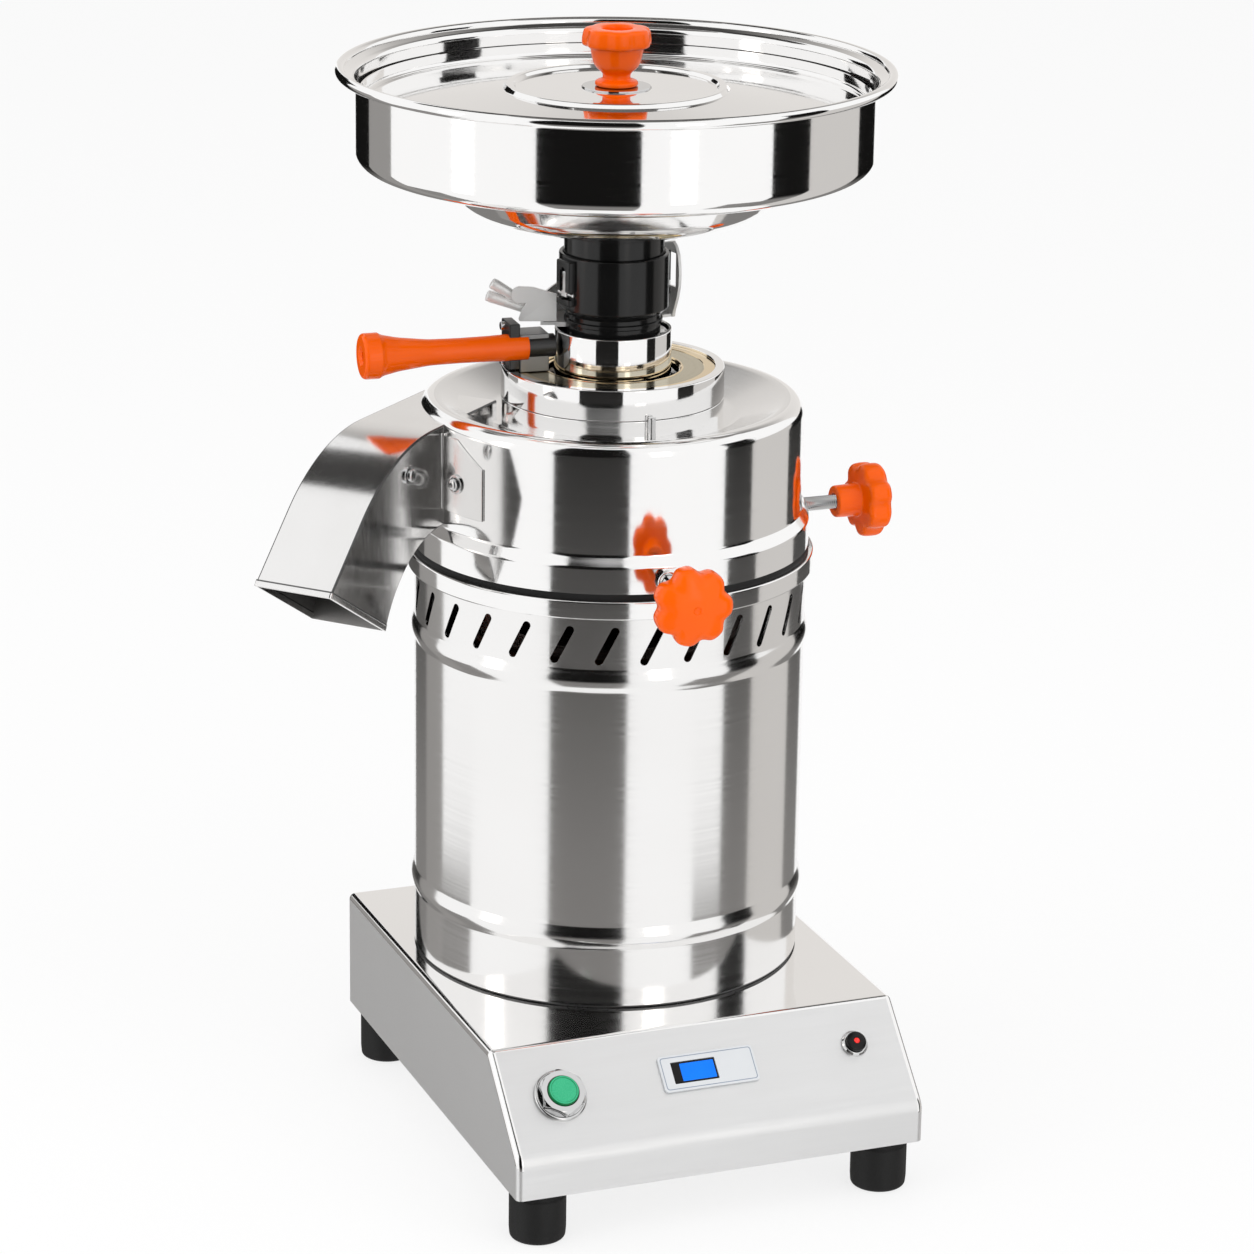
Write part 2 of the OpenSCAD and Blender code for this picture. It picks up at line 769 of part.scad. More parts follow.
module stator_windings() color("peru") {
    bulge = 6;
    for (z = [core_z1, core_z0 - winding_h]) rotate_extrude() polygon(concat(
        arc([winding_out - bulge, z + bulge], bulge, -90, 0),
        arc([winding_out - bulge, z + winding_h - bulge], bulge, 0, 90),
        arc([winding_in + bulge, z + winding_h - bulge], bulge, 90, 180),
        arc([winding_in + bulge, z + bulge], bulge, 180, 270)));
}

module rotor_core() color("dimgray") {
    pipe(rotor_r, shaft_r + slip_gap, core_z0 + move_gap, core_z1 - move_gap);
}

module motor_shaft() color("gainsboro") {
    step_z = bearing_z + bearing_h + 0.5;
    translate([0, 0, shaft_z0])
        cylinder(r = small_shaft_r - run_gap, h = shield_z + small_bearing_h + 4 - shaft_z0);
    translate([0, 0, shield_z + small_bearing_h + 1])
        cylinder(r = shaft_r - run_gap, h = step_z - shield_z - small_bearing_h - 1);
    translate([0, 0, step_z - 1]) cylinder(r = runner_bore_r - run_gap, h = runner_stone_z + 6 - step_z + 1);
}

module bearing(r_out, r_in, z, h) {
    groove = 0.8;
    difference() {
        pipe(r_out, r_in, z, z + h);
        for (end = [z - cut, z + h - groove])
            pipe(r_out - 3, r_in + 3, end, end + cut + (end < z ? groove : 0));
    }
}

module upper_bearing() color("silver") bearing(bearing_r - slip_gap, shaft_r, bearing_z, bearing_h);

module lower_bearing() color("silver")
    bearing(small_bearing_r - slip_gap, small_shaft_r, shield_z - 1, small_bearing_h);

module cooling_fan() color([0.15, 0.15, 0.15]) {
    blades = 8;
    blade_h = 9;
    disc_t = 2.5;
    hub_out = shaft_r + 8;
    pipe(fan_r, shaft_r + slip_gap, fan_z, fan_z + disc_t);
    pipe(hub_out, shaft_r + slip_gap, fan_z, fan_z + disc_t + blade_h);
    for (i = [0:blades - 1]) rotate([0, 0, i * 360 / blades])
        translate([hub_out - 2, -1, fan_z + disc_t - 0.5]) cube([fan_r - hub_out, 2, blade_h]);
}

// Grinding chamber

module flange_gasket() color([0.04, 0.04, 0.04]) {
    pipe(skirt_r + 0.2, spigot_wall_r + slip_gap, z_gasket, z_chamber);
}

ring_hole_r = quill_r + 3;
crest_w = 10;
dish_run = 2.1;
dish_step = 2 * pin_r + move_gap + dish_run + 0.7;
dish_slope = atan(dish_depth / (chamber_r - crest_w - ring_r - dish_step));
dish_bend = dish_run / tan(dish_slope / 2);
chamber_path = rounded(
    [[skirt_r, z_chamber], [skirt_r, z_chamber + skirt_h], [chamber_r, z_chamber + skirt_h + step_h],
     [chamber_r, z_crest], [chamber_r - crest_w, z_crest], [ring_r + dish_step, z_dish],
     [ring_hole_r, z_dish]],
    [0, 2.5, 2.5, 7, dish_bend, dish_bend, 0]
);

module chamber_housing() color("lightgray") {
    difference() {
        union() {
            difference() {
                spun_sheet(chamber_path, chamber_sheet);
                difference() {
                    facing(chute_az)
                        across(-chute_offset - chute_w + chute_sheet, -chute_offset - chute_sheet)
                            polygon(duct_inside());
                    cylinder(r = chamber_r - outlet_depth, h = 2 * z_crest);
                }
            }
            for (az = clamp_az) facing(az) difference() {
                outward(skirt_r - chamber_sheet / 2, clamp_z)
                    cylinder(r = boss_r, h = boss_h + chamber_sheet / 2);
                translate([0, 0, z_chamber]) cylinder(r = skirt_r - 0.3, h = skirt_h);
            }
        }
        for (az = clamp_az) facing(az) outward(spigot_wall_r - 2, clamp_z)
            cylinder(r = stud_r + run_gap, h = boss_h + 15);
    }
}

// Disc on the shaft with sweeping paddles round its edge
module runner_hub() color("gainsboro") {
    paddles = 6;
    paddle_reach = chamber_inner_r - 4;
    paddle_h = 14;
    disc_r = stone_r + 4;
    pipe(disc_r, runner_bore_r + slip_gap, runner_z, runner_stone_z);
    for (i = [0:paddles - 1]) rotate([0, 0, i * 360 / paddles])
        translate([disc_r - 2, -2, runner_z]) cube([paddle_reach - disc_r + 2, 4, paddle_h]);
}

module runner_stone() color("tan") {
    pipe(stone_r, stone_eye_r, runner_stone_z, runner_stone_z + stone_t);
}

module upper_stone() color("tan") {
    pipe(stone_r, stone_eye_r, upper_stone_z, carrier_z);
}

module stone_carrier() color("gainsboro") {
    pipe(stone_r, stone_eye_r, carrier_z, carrier_z + carrier_t);
    pipe(quill_r, stone_eye_r, carrier_z + carrier_t - 0.5, quill_top);
}

module thread_ring() color("lightgray") {
    pipe(ring_r, quill_r + run_gap, z_ring, z_seam);
    pipe(thread_r, quill_r + run_gap, z_seam - 0.5, z_seam + thread_h);
}

module index_pin() color("gainsboro") {
    facing(pin_az) translate([0, -ring_r - pin_r - move_gap, z_ring]) rotate_extrude() polygon(concat(
        [[0, 0], [pin_r, 0]], arc([pin_r - 0.8, ring_h + 2], 0.8, 0, 90), [[0, ring_h + 2.8]]));
}

// Adjuster

module adjuster_cap() color("lightgray") {
    edge = 0.8;
    rotate_extrude() polygon(concat(
        [[thread_r + run_gap, z_cap], [ring_r, z_cap]],
        arc([ring_r - edge, z_cap_top - edge], edge, 0, 90),
        [[thread_r, z_cap_top], [thread_r, dial_z], [cap_hole_r, dial_z],
         [cap_hole_r, dial_z - cap_plate_t], [thread_r + run_gap, dial_z - cap_plate_t]]));
}

module dial_plate() color("burlywood") {
    pipe(thread_r - fit_gap, cap_hole_r + 0.8, dial_z, dial_z + dial_t);
}

module feed_collar() color("silver") {
    rim_t = 1.5;
    rotate_extrude() polygon([
        [throat_r + 1, quill_top], [collar_r + 8, quill_top], [collar_r + 8, quill_top + collar_foot_t],
        [collar_r, quill_top + collar_foot_t], [collar_r, collar_top], [collar_r - rim_t, collar_top],
        [collar_r - rim_t, collar_top - ledge_depth], [tail_r + 0.1, collar_top - ledge_depth],
        [tail_r + 0.1, tail_z], [throat_r + 1, tail_z]
    ]);
}

// Block on the dial with a saddle at its outer end, both open to the lever's front
module lever_clamp() color([0.12, 0.12, 0.12]) {
    block_z = dial_z + dial_t;
    reach = clamp_out + saddle_t;
    facing(lever_az) difference() {
        union() {
            translate([-clamp_back, -clamp_out, block_z])
                cube([clamp_back + clamp_front, clamp_out - clamp_in, clamp_top - block_z]);
            translate([-clamp_back, -reach, saddle_z])
                cube([clamp_back + clamp_front, saddle_t + cut, saddle_top - saddle_z]);
        }
        outward(clamp_in - cut, lever_mid_z) cylinder(r = lever_r + slip_gap, h = reach);
        outward(grip_start - fit_gap, lever_mid_z)
            cylinder(r = lever_r + grip_wall + fit_gap, h = reach);
    }
}

module lever_bolts() color("gray") {
    head_h = 2.4;
    socket_r = 0.55 * lever_bolt_r;
    facing(lever_az) for (z = [saddle_top - 1.2 * lever_bolt_r, saddle_z + 1.2 * lever_bolt_r])
        translate([-clamp_back / 2, 0, 0]) outward(clamp_out + saddle_t, z) difference() {
            cylinder(r = lever_bolt_r, h = head_h);
            translate([0, 0, head_h / 2]) cylinder(r = socket_r, h = head_h, $fn = 6);
        }
}

module lever_tube() color([0.06, 0.06, 0.06]) {
    facing(lever_az) outward(lever_start, lever_mid_z) {
        cylinder(r = lever_r, h = grip_start + grip_socket_h - lever_start);
        cylinder(r = lever_core_r, h = lever_reach - grip_end_h - lever_start);
    }
}

// Moulded grip: socket on the tube, a slim waist and a flared end with a hanging hole
module lever_grip() color("orangered") {
    length = lever_reach - grip_start;
    end_z = length - grip_end_h;
    socket = grip_socket_h + fit_gap;
    edge = 1.5;
    hole_r = lever_core_r - 1;
    facing(lever_az) outward(grip_start, lever_mid_z) rotate_extrude() polygon(concat(
        [[lever_r + slip_gap, 0], [lever_r + grip_wall, 0], [lever_r + grip_wall, grip_socket_h],
         [grip_waist_r, length * 0.45], [grip_waist_r + 0.3, length * 0.6],
         [grip_end_r - 3, end_z - 8], [grip_end_r - 1.2, end_z]],
        arc([grip_end_r - edge, end_z + 2 * edge], edge, -60, 0, 4),
        arc([grip_end_r - edge, length - edge], edge, 0, 90, 4),
        [[hole_r + edge, length], [hole_r, length - edge], [hole_r, end_z + fit_gap],
         [lever_core_r + slip_gap, end_z + fit_gap], [lever_core_r + slip_gap, socket],
         [lever_r + slip_gap, socket]]));
}

// Lock lever behind the coupler

// A ring segment from one direction to another, and its two limits as a wedge
module segment(az0, az1, reach, z0, z1) {
    wedge = concat([[0, 0]], [for (a = [az0:15:az1]) [reach * sin(a), -reach * cos(a)]],
        [[reach * sin(az1), -reach * cos(az1)]]);
    translate([0, 0, z0]) linear_extrude(z1 - z0) polygon(wedge);
}

// Band round the back of the coupler, rising to the right, with an ear that carries the lock lever
module lock_bracket() color("gainsboro") {
    foot_in = neck_r + fit_gap;
    hub_out = collar_r - 0.5;
    difference() {
        intersection() {
            union() {
                pipe(hub_out, foot_in, collar_top, bracket_z + bracket_t);
                pipe(bracket_r + bracket_t, foot_in, bracket_z, bracket_z + bracket_t);
                pipe(bracket_r + bracket_t, bracket_r, bracket_z, bracket_z + bracket_high);
            }
            segment(bracket_from, bracket_to, 3 * bracket_r,
                collar_top - cut, bracket_z + bracket_high + cut);
        }
        facing(bracket_tilt_az) translate([-bracket_r, 0, bracket_z + bracket_low])
            rotate([0, -bracket_rise, 0]) translate([-bracket_r, -2 * bracket_r, 0])
                cube([5 * bracket_r, 4 * bracket_r, bracket_high]);
        cam_side(1) translate([-cam_window_w / 2, -bracket_r - 2 * bracket_t, cam_pin_z - cam_window_low])
            cube([cam_window_w, 4 * bracket_t, cam_len + 1.5 * cam_window_low]);
    }
    facing(ear_az) {
        translate([-bracket_t / 2, -ear_out, ear_z])
            cube([bracket_t, ear_out - bracket_r - bracket_t / 2, ear_top - ear_z]);
        translate([-lock_t - bracket_t, -lock_pin_at, lock_pin_z]) rotate([0, 90, 0])
            cylinder(r = lock_pin_r, h = lock_t + bracket_t);
    }
}

// Two round prongs spreading from an eye on the lock pin
module lock_lever() color("gainsboro") {
    eye_r = 4.5;
    prong_r = 2.3;
    prong_len = 24;
    side = -bracket_t / 2 - move_gap - lock_t + 1;
    facing(ear_az) translate([side, -lock_pin_at, lock_pin_z]) difference() {
        union() {
            rotate([0, 90, 0]) cylinder(r = eye_r, h = lock_t - 1);
            for (a = [14, 34]) translate([(lock_t - 1) / 2, 0, 0]) rotate([90 - a, 0, 0])
                cylinder(r1 = prong_r * 0.8, r2 = prong_r, h = prong_len);
        }
        translate([-cut, 0, 0]) rotate([0, 90, 0]) cylinder(r = lock_pin_r + run_gap, h = lock_t + 2 * cut);
    }
}

// Coupler

module cam_side(side) {
    facing(cam_az + (side > 0 ? 180 : 0)) children();
}

module coupler_body() color([0.05, 0.05, 0.05]) {
    edge = 1;
    pad_z = body_z + 3;
    difference() {
        union() {
            rotate_extrude() polygon(concat(
                [[0, tail_z], [tail_r, tail_z], [tail_r, collar_top - ledge_depth],
                 [neck_r, collar_top - ledge_depth], [neck_r, body_z - taper_h], [coupler_r, body_z]],
                arc([coupler_r - edge, body_top - edge], edge, 0, 90),
                [[0, body_top]]));
            for (side = [-1, 1]) cam_side(side)
                translate([-pad_w / 2, -coupler_r - pad_out, pad_z])
                    cube([pad_w, pad_out + 6, body_top - 2 * edge - pad_z]);
        }
        translate([0, 0, tail_z - cut]) cylinder(r = throat_r, h = body_top - tail_z + 2 * cut);
        translate([0, 0, socket_z]) cylinder(r = socket_r, h = coupler_h);
        for (side = [-1, 1]) cam_side(side) {
            slot = cam_w / 2 + move_gap;
            translate([-slot, -coupler_r - pad_out - cut, cam_pin_z - 3.2])
                cube([2 * slot, pad_out + 8, cam_len + 5]);
            translate([-pad_w, -cam_pin_at, cam_pin_z]) rotate([0, 90, 0])
                cylinder(r = cam_pin_r + slip_gap, h = 2 * pad_w);
        }
    }
}

module cam_arm(side) {
    inner = cam_pin_at - 2.2;
    cam_side(side) difference() {
        union() {
            translate([-cam_w / 2, -inner - cam_t, cam_pin_z]) cube([cam_w, cam_t, cam_len]);
            translate([-cam_w / 2, -cam_pin_at, cam_pin_z]) rotate([0, 90, 0]) cylinder(r = 2.2, h = cam_w);
        }
        translate([-pad_w, -cam_pin_at, cam_pin_z]) rotate([0, 90, 0])
            cylinder(r = cam_pin_r + run_gap, h = 2 * pad_w);
    }
}

module left_cam_arm() color("gray") cam_arm(-1);

module right_cam_arm() color("gray") cam_arm(1);

module cam_pins() color("silver") {
    for (side = [-1, 1]) cam_side(side)
        translate([-pad_w / 2 - 0.6, -cam_pin_at, cam_pin_z]) rotate([0, 90, 0])
            cylinder(r = cam_pin_r, h = pad_w + 1.2);
}

// Hopper

lip_rise = 3;
lip_bend = 3;
bowl_path = rounded(
    [[spigot_r + 0.1, z_dish_low], [dish_r - 24, z_dish_low], [dish_r, z_shelf - 1],
     [hopper_r, z_shelf], [hopper_r, z_rim - lip_rise], [hopper_r + rim_out, z_rim]],
    [0, 22, 3, 8, lip_bend, 0]
);

module hopper_bowl() color("lightgray") {
    spun_sheet(bowl_path, hopper_sheet);
    rotate_extrude() translate([hopper_r + rim_out, z_rim]) circle(r = rim_roll_r);
    pipe(hopper_r - hopper_sheet / 2, hopper_r - hopper_sheet - ledge_w,
        z_ledge - ledge_t, z_ledge);
}

module hopper_spigot() color([0.05, 0.05, 0.05]) {
    seat_z = z_dish_low + hopper_sheet;
    pipe(spigot_r, throat_r, spigot_z, seat_z + spigot_flange_t);
    pipe(spigot_ring_r, throat_r, spigot_ring_z, spigot_ring_z + spigot_ring_h);
    pipe(spigot_flange_r, throat_r, seat_z, seat_z + spigot_flange_t);
}

lid_path = rounded(
    [[lid_screw_r + 0.1, z_lid_mid], [lid_ring_r - lid_ring_w / 2, z_lid_mid],
     [lid_ring_r - lid_ring_w / 4, z_lid_mid + lid_ring_h],
     [lid_ring_r + lid_ring_w / 4, z_lid_mid + lid_ring_h],
     [lid_ring_r + lid_ring_w / 2, z_lid_mid - 0.4], [lid_r, z_lid], [lid_r, z_lid + lid_lip_h]],
    [0, 1, 1, 1, 1, 2.5, 0]
);

module hopper_lid() color("lightgray") {
    spun_sheet(lid_path, -lid_sheet);
}

module lid_washer() color("silver") {
    screw_up = 12;
    pipe(washer_r, lid_screw_r, z_lid_mid, z_lid_mid + washer_t);
    translate([0, 0, z_lid_mid - lid_sheet - 3]) cylinder(r = lid_screw_r, h = screw_up + 3);
    translate([0, 0, z_lid_mid - lid_sheet - 3]) cylinder(r = 2 * lid_screw_r, h = 3);
}

// Outline of a star head: a disc with scallops between its lobes
module star(r, lobes) {
    scallop = 0.3 * r;
    difference() {
        circle(r = r);
        for (i = [0:lobes - 1]) rotate((i + 0.5) * 360 / lobes)
            translate([1.14 * r, 0]) circle(r = scallop);
    }
}

module lid_knob() color("orangered") {
    z0 = z_lid_mid + washer_t;
    base_r = 11.8;
    neck = 7.5;
    head_z = lid_knob_h - 10.8;
    difference() {
        union() {
            translate([0, 0, z0]) rotate_extrude() polygon(concat(
                [[0, 0], [base_r - 1, 0]], arc([base_r - 1.5, 1.5], 1.5, -90, 90),
                [[neck, 3.4], [neck + 0.4, 6]],
                [for (i = [1:6]) [neck + 1 + 6.4 * sin(15 * i), 6 + (head_z - 6) * (1 - cos(15 * i)) * 0.4
                    + (head_z - 6) * 0.6 * i / 6]],
                [[0, head_z]]));
            intersection() {
                translate([0, 0, z0 + head_z - 0.5]) linear_extrude(lid_knob_h - head_z + 0.5)
                    star(lid_knob_r, star_lobes);
                translate([0, 0, z0 + lid_knob_h - 46]) sphere(r = 46);
            }
        }
        translate([0, 0, z0 + lid_knob_h - 2.5]) cylinder(r1 = 6.5, r2 = 8, h = 3);
        translate([0, 0, z0 - cut]) cylinder(r = lid_screw_r + slip_gap, h = 13);
    }
}

// Chute

duct_start = 100;
duct_inner_start = 90;
z_duct_top = z_crest - 4;
z_duct_low = z_chamber + 21.2;
outlet_past = 30;

// Outlines of the duct in forward and up coordinates, inset by a wall and open past both ends
function duct_top(t) = concat(
    [[0, z_duct_top - t]],
    arc([duct_start, z_duct_top - chute_outer_r], chute_outer_r - t, 90, 90 - chute_outer_bend, 16));
function duct_bottom(t) = concat(
    [[0, z_duct_low + t]],
    arc([duct_inner_start, z_duct_low - chute_inner_r], chute_inner_r + t, 90, 90 - chute_inner_bend, 16));
function outlet_top(t, past) = let (p = duct_top(t), e = p[len(p) - 1])
    e + (chute_run + past) * [cos(chute_outer_bend), -sin(chute_outer_bend)];
function outlet_low(t, past) = let (p = duct_bottom(t), e = p[len(p) - 1])
    e + past * [cos(chute_inner_bend), -sin(chute_inner_bend)];
function duct_outside() = concat(
    duct_top(0), [outlet_top(0, 0), outlet_low(0, 0)], reversed(duct_bottom(0)));
function duct_inside() = concat(
    duct_top(chute_sheet), [outlet_top(chute_sheet, outlet_past), outlet_low(chute_sheet, outlet_past)],
    reversed(duct_bottom(chute_sheet)));

tab_t = 1.2;
tab_gap = 0.1;
tab_from = -84;
tab_to = -61;
tab_z0 = z_duct_low + 3;
tab_z1 = z_duct_top - 16;

module chute() color("silver") {
    seat_r = chamber_r + tab_gap;
    difference() {
        facing(chute_az) difference() {
            across(-chute_offset - chute_w, -chute_offset) polygon(duct_outside());
            across(-chute_offset - chute_w + chute_sheet, -chute_offset - chute_sheet) polygon(duct_inside());
        }
        translate([0, 0, z_chamber - cut]) cylinder(r = seat_r, h = chamber_h + 20);
        translate([0, 0, z_chamber - cut])
            cylinder(r = skirt_r + tab_gap, h = skirt_h + step_h);
    }
    intersection() {
        pipe(seat_r + tab_t, seat_r, tab_z0, tab_z1);
        segment(tab_from, tab_to, 2 * chamber_r, tab_z0 - cut, tab_z1 + cut);
        facing(chute_az) translate([-chute_offset - 0.5, -2 * chamber_r, 0]) cube([200, 300, 2 * z_crest]);
    }
}

tab_screw_az = -72.2;
tab_screw_z = z_chamber + 45.6;
wall_screw_at = 128.7;
wall_screw_z = z_chamber + 58.9;

module pan_screw() {
    rotate_extrude() polygon(concat([[0, 0], [4.2, 0]], arc([3, 0], 1.2, 0, 60, 4), [[3, 2.4], [0, 2.6]]));
}

module chute_screws() color("silver") {
    facing(tab_screw_az) outward(chamber_r + tab_gap + tab_t + 0.1, tab_screw_z) pan_screw();
    facing(chute_az) translate([-chute_offset, -wall_screw_at, wall_screw_z]) rotate([0, 90, 0]) pan_screw();
}

// Clamp screws

module clamp_stud(az) {
    facing(az) outward(stud_tip, clamp_z) cylinder(r = stud_r, h = knob_at + hub_h + 6 - stud_tip);
}

module star_knob(az) {
    facing(az) outward(knob_at, clamp_z) difference() {
        union() {
            cylinder(r1 = hub_r - 0.4, r2 = hub_r, h = hub_h);
            intersection() {
                translate([0, 0, hub_h - 0.5]) linear_extrude(star_t + 0.5) star(star_r, star_lobes);
                translate([0, 0, hub_h + star_t - 2.2 * star_r]) sphere(r = 2.2 * star_r);
                cylinder(r1 = 0.5 * star_r, r2 = 2 * star_r, h = hub_h + star_t);
            }
        }
        translate([0, 0, -cut]) cylinder(r = stud_r + run_gap, h = hub_h + 8 + cut);
        translate([0, 0, hub_h + star_t - 0.8]) cylinder(r = 2, h = 2);
    }
}

module front_stud() color("silver") clamp_stud(clamp_az[0]);
module right_stud() color("silver") clamp_stud(clamp_az[1]);
module rear_stud() color("silver") clamp_stud(clamp_az[2]);
module front_knob() color("orangered") star_knob(clamp_az[0]);
module right_knob() color("orangered") star_knob(clamp_az[1]);
module rear_knob() color("orangered") star_knob(clamp_az[2]);

base_housing();
base_plate();
rubber_feet();
foot_bolts();
button_bezel();
button_nut();
button_cap();
button_switch();
display_frame();
display_screen();
indicator_bezel();
indicator_face();
indicator_lamp();
cord_gland();
capacitor();
motor_shell();
motor_flange();
lower_shield();
tie_bolts();
stator_core();
stator_windings();
rotor_core();
motor_shaft();
upper_bearing();
lower_bearing();
cooling_fan();
flange_gasket();
chamber_housing();
runner_hub();
runner_stone();
upper_stone();
stone_carrier();
thread_ring();
index_pin();
adjuster_cap();
dial_plate();
feed_collar();
lever_clamp();
lever_bolts();
lever_tube();
lever_grip();
lock_bracket();
lock_lever();
coupler_body();
left_cam_arm();
right_cam_arm();
cam_pins();
hopper_bowl();
hopper_spigot();
hopper_lid();
lid_knob();
lid_washer();
chute();
chute_screws();
front_stud();
front_knob();
right_stud();
right_knob();
rear_stud();
rear_knob();
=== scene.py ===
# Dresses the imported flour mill: folded base, motor drum, grinding chamber, adjuster, coupler, hopper
import json
import math

import bmesh
import bpy
from mathutils import Matrix, Vector


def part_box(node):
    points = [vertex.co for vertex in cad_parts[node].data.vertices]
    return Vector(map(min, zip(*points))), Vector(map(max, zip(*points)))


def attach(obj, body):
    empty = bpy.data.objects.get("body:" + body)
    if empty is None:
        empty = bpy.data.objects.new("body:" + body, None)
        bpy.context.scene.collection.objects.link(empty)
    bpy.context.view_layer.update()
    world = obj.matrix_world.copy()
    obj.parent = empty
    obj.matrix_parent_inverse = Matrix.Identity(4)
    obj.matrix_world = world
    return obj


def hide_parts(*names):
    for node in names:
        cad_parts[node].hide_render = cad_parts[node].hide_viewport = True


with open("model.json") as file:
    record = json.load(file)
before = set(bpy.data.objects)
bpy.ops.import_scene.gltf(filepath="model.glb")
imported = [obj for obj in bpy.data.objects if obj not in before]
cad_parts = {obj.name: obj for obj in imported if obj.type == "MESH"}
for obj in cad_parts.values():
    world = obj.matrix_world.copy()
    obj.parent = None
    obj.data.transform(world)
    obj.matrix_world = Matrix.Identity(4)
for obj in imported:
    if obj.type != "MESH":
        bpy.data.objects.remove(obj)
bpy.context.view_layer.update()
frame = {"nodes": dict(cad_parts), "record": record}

# Sizes are in millimetres, and MM turns them into metres where geometry is made
MM = 0.001
WELD = 0.001 * MM
ROUND = 160
SMALL_ROUND = 64
UP = Vector((0, 0, 1))


# Readings from the frame

def low(node):
    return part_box(node)[0] / MM


def high(node):
    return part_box(node)[1] / MM


BASE_SIDE = high("base_housing").x
BASE_BACK = high("base_housing").y
BASE_FRONT = -low("base_housing").y
Z_BASE = low("base_housing").z
Z_TOP = high("base_housing").z
LIP_H = 22
Z_FOLD = Z_BASE + LIP_H
PANEL_TOP = 134.5
PANEL_SLOPE = math.atan2(Z_TOP - Z_FOLD, BASE_FRONT - PANEL_TOP)
FOOT_INSET = 18
DRUM_R = 108
Z_DRUM = high("motor_shell").z
Z_GASKET = low("flange_gasket").z
Z_CHAMBER = high("flange_gasket").z
SKIRT_R = 109.2
CHAMBER_R = 105
Z_CREST = high("chamber_housing").z
Z_DISH = low("thread_ring").z
RING_R = high("adjuster_cap").x
Z_CAP = low("adjuster_cap").z
Z_CAP_TOP = high("adjuster_cap").z
Z_DIAL = low("dial_plate").z
DIAL_R = high("dial_plate").x
COLLAR_R = 32
Z_COLLAR = high("feed_collar").z
Z_COUPLER = high("coupler_body").z
Z_TAIL = low("coupler_body").z
COUPLER_R = 30
Z_SPIGOT = low("hopper_spigot").z
Z_SPIGOT_TOP = high("hopper_spigot").z
SPIGOT_R = 27.3
THROAT_R = 20
Z_HOPPER = low("hopper_bowl").z
RIM_ROLL_R = 2.8
Z_RIM = high("hopper_bowl").z - RIM_ROLL_R
RIM_R = high("hopper_bowl").x - RIM_ROLL_R
HOPPER_R = 140
Z_SHELF = Z_HOPPER + 27
WASHER_T = 0.8
Z_LID_MID = low("lid_knob").z - WASHER_T
Z_LID = Z_RIM - 17.5
LEVER_AZ = -94
Z_LEVER = (low("lever_grip").z + high("lever_grip").z) / 2
GRIP_START = 48.8
CAM_AZ = -78
CAM_PIN_AT = 30.6
Z_CAM_PIN = (low("cam_pins").z + high("cam_pins").z) / 2
BRACKET_R = 38
BRACKET_SHEET = 1.6
Z_BRACKET = Z_COLLAR + 0.9
EAR_AZ = -107
LOCK_PIN_AT = 51
Z_LOCK_PIN = Z_BRACKET + 17
CHUTE_AZ = -47.7
CHUTE_RIGHT = -55.5
CHUTE_W = 45.7
CHUTE_SHEET = 1.2
CLAMPS = {"front": -5, "right": 90, "rear": 180}
Z_CLAMP = (low("front_stud").z + high("front_stud").z) / 2
BOSS_H = 5
KNOB_AT = SKIRT_R + BOSS_H + 20


# Places

def outward(az):
    return Vector((math.sin(math.radians(az)), -math.cos(math.radians(az)), 0))


def along(az):
    return Vector((math.cos(math.radians(az)), math.sin(math.radians(az)), 0))


def seat(x_axis, y_axis, z_axis, origin):
    matrix = Matrix((x_axis, y_axis, z_axis)).transposed().to_4x4()
    matrix.translation = Vector(origin) * MM
    return matrix


# Local X points outward, Y up, Z to the left as seen from outside
def side_on(az, x):
    return seat(outward(az), UP, -along(az), along(az) * x)


# Local X points to the right as seen from outside, Y up, Z outward
def outward_at(az, distance, z):
    return seat(along(az), UP, outward(az), outward(az) * distance + UP * z)


# Local Z points to the right as seen from outside, for pins that lie across
def crosswise_at(az, distance, z):
    return outward_at(az, distance, z) @ Matrix.Rotation(math.pi / 2, 4, "Y")


# Local Y points up the sloping panel and Z out of it
def on_panel(x, down):
    up_slope = Vector((0, math.cos(PANEL_SLOPE), math.sin(PANEL_SLOPE)))
    out = Vector((0, -math.sin(PANEL_SLOPE), math.cos(PANEL_SLOPE)))
    return seat(Vector((1, 0, 0)), up_slope, out, Vector((x, -PANEL_TOP, Z_TOP)) - up_slope * down)


# Local -Y points outward
def facing(az):
    return Matrix.Rotation(math.radians(az), 4, "Z")


def moved(x, y, z):
    return Matrix.Translation(Vector((x, y, z)) * MM)


# Outlines, as lists of points in a plane

def arc(centre, radius, start, end, steps=8):
    points = []
    for step in range(steps + 1):
        angle = math.radians(start + (end - start) * step / steps)
        points.append((centre[0] + radius * math.cos(angle), centre[1] + radius * math.sin(angle)))
    return points


# A corner with a third number is rounded to that radius
def rounded(path, steps=6):
    points = []
    for index, corner in enumerate(path):
        here = Vector(corner[:2])
        if len(corner) == 2:
            points.append(tuple(here))
            continue
        before = (Vector(path[index - 1][:2]) - here).normalized()
        after = (Vector(path[(index + 1) % len(path)][:2]) - here).normalized()
        half = before.angle(after) / 2
        centre = here + (before + after).normalized() * corner[2] / math.sin(half)
        start = here + before * corner[2] / math.tan(half) - centre
        end = here + after * corner[2] / math.tan(half) - centre
        first = math.degrees(math.atan2(start.y, start.x))
        turn = math.degrees(math.atan2(start.x * end.y - start.y * end.x, start.dot(end)))
        points += arc(centre, corner[2], first, first + turn, steps)
    return points


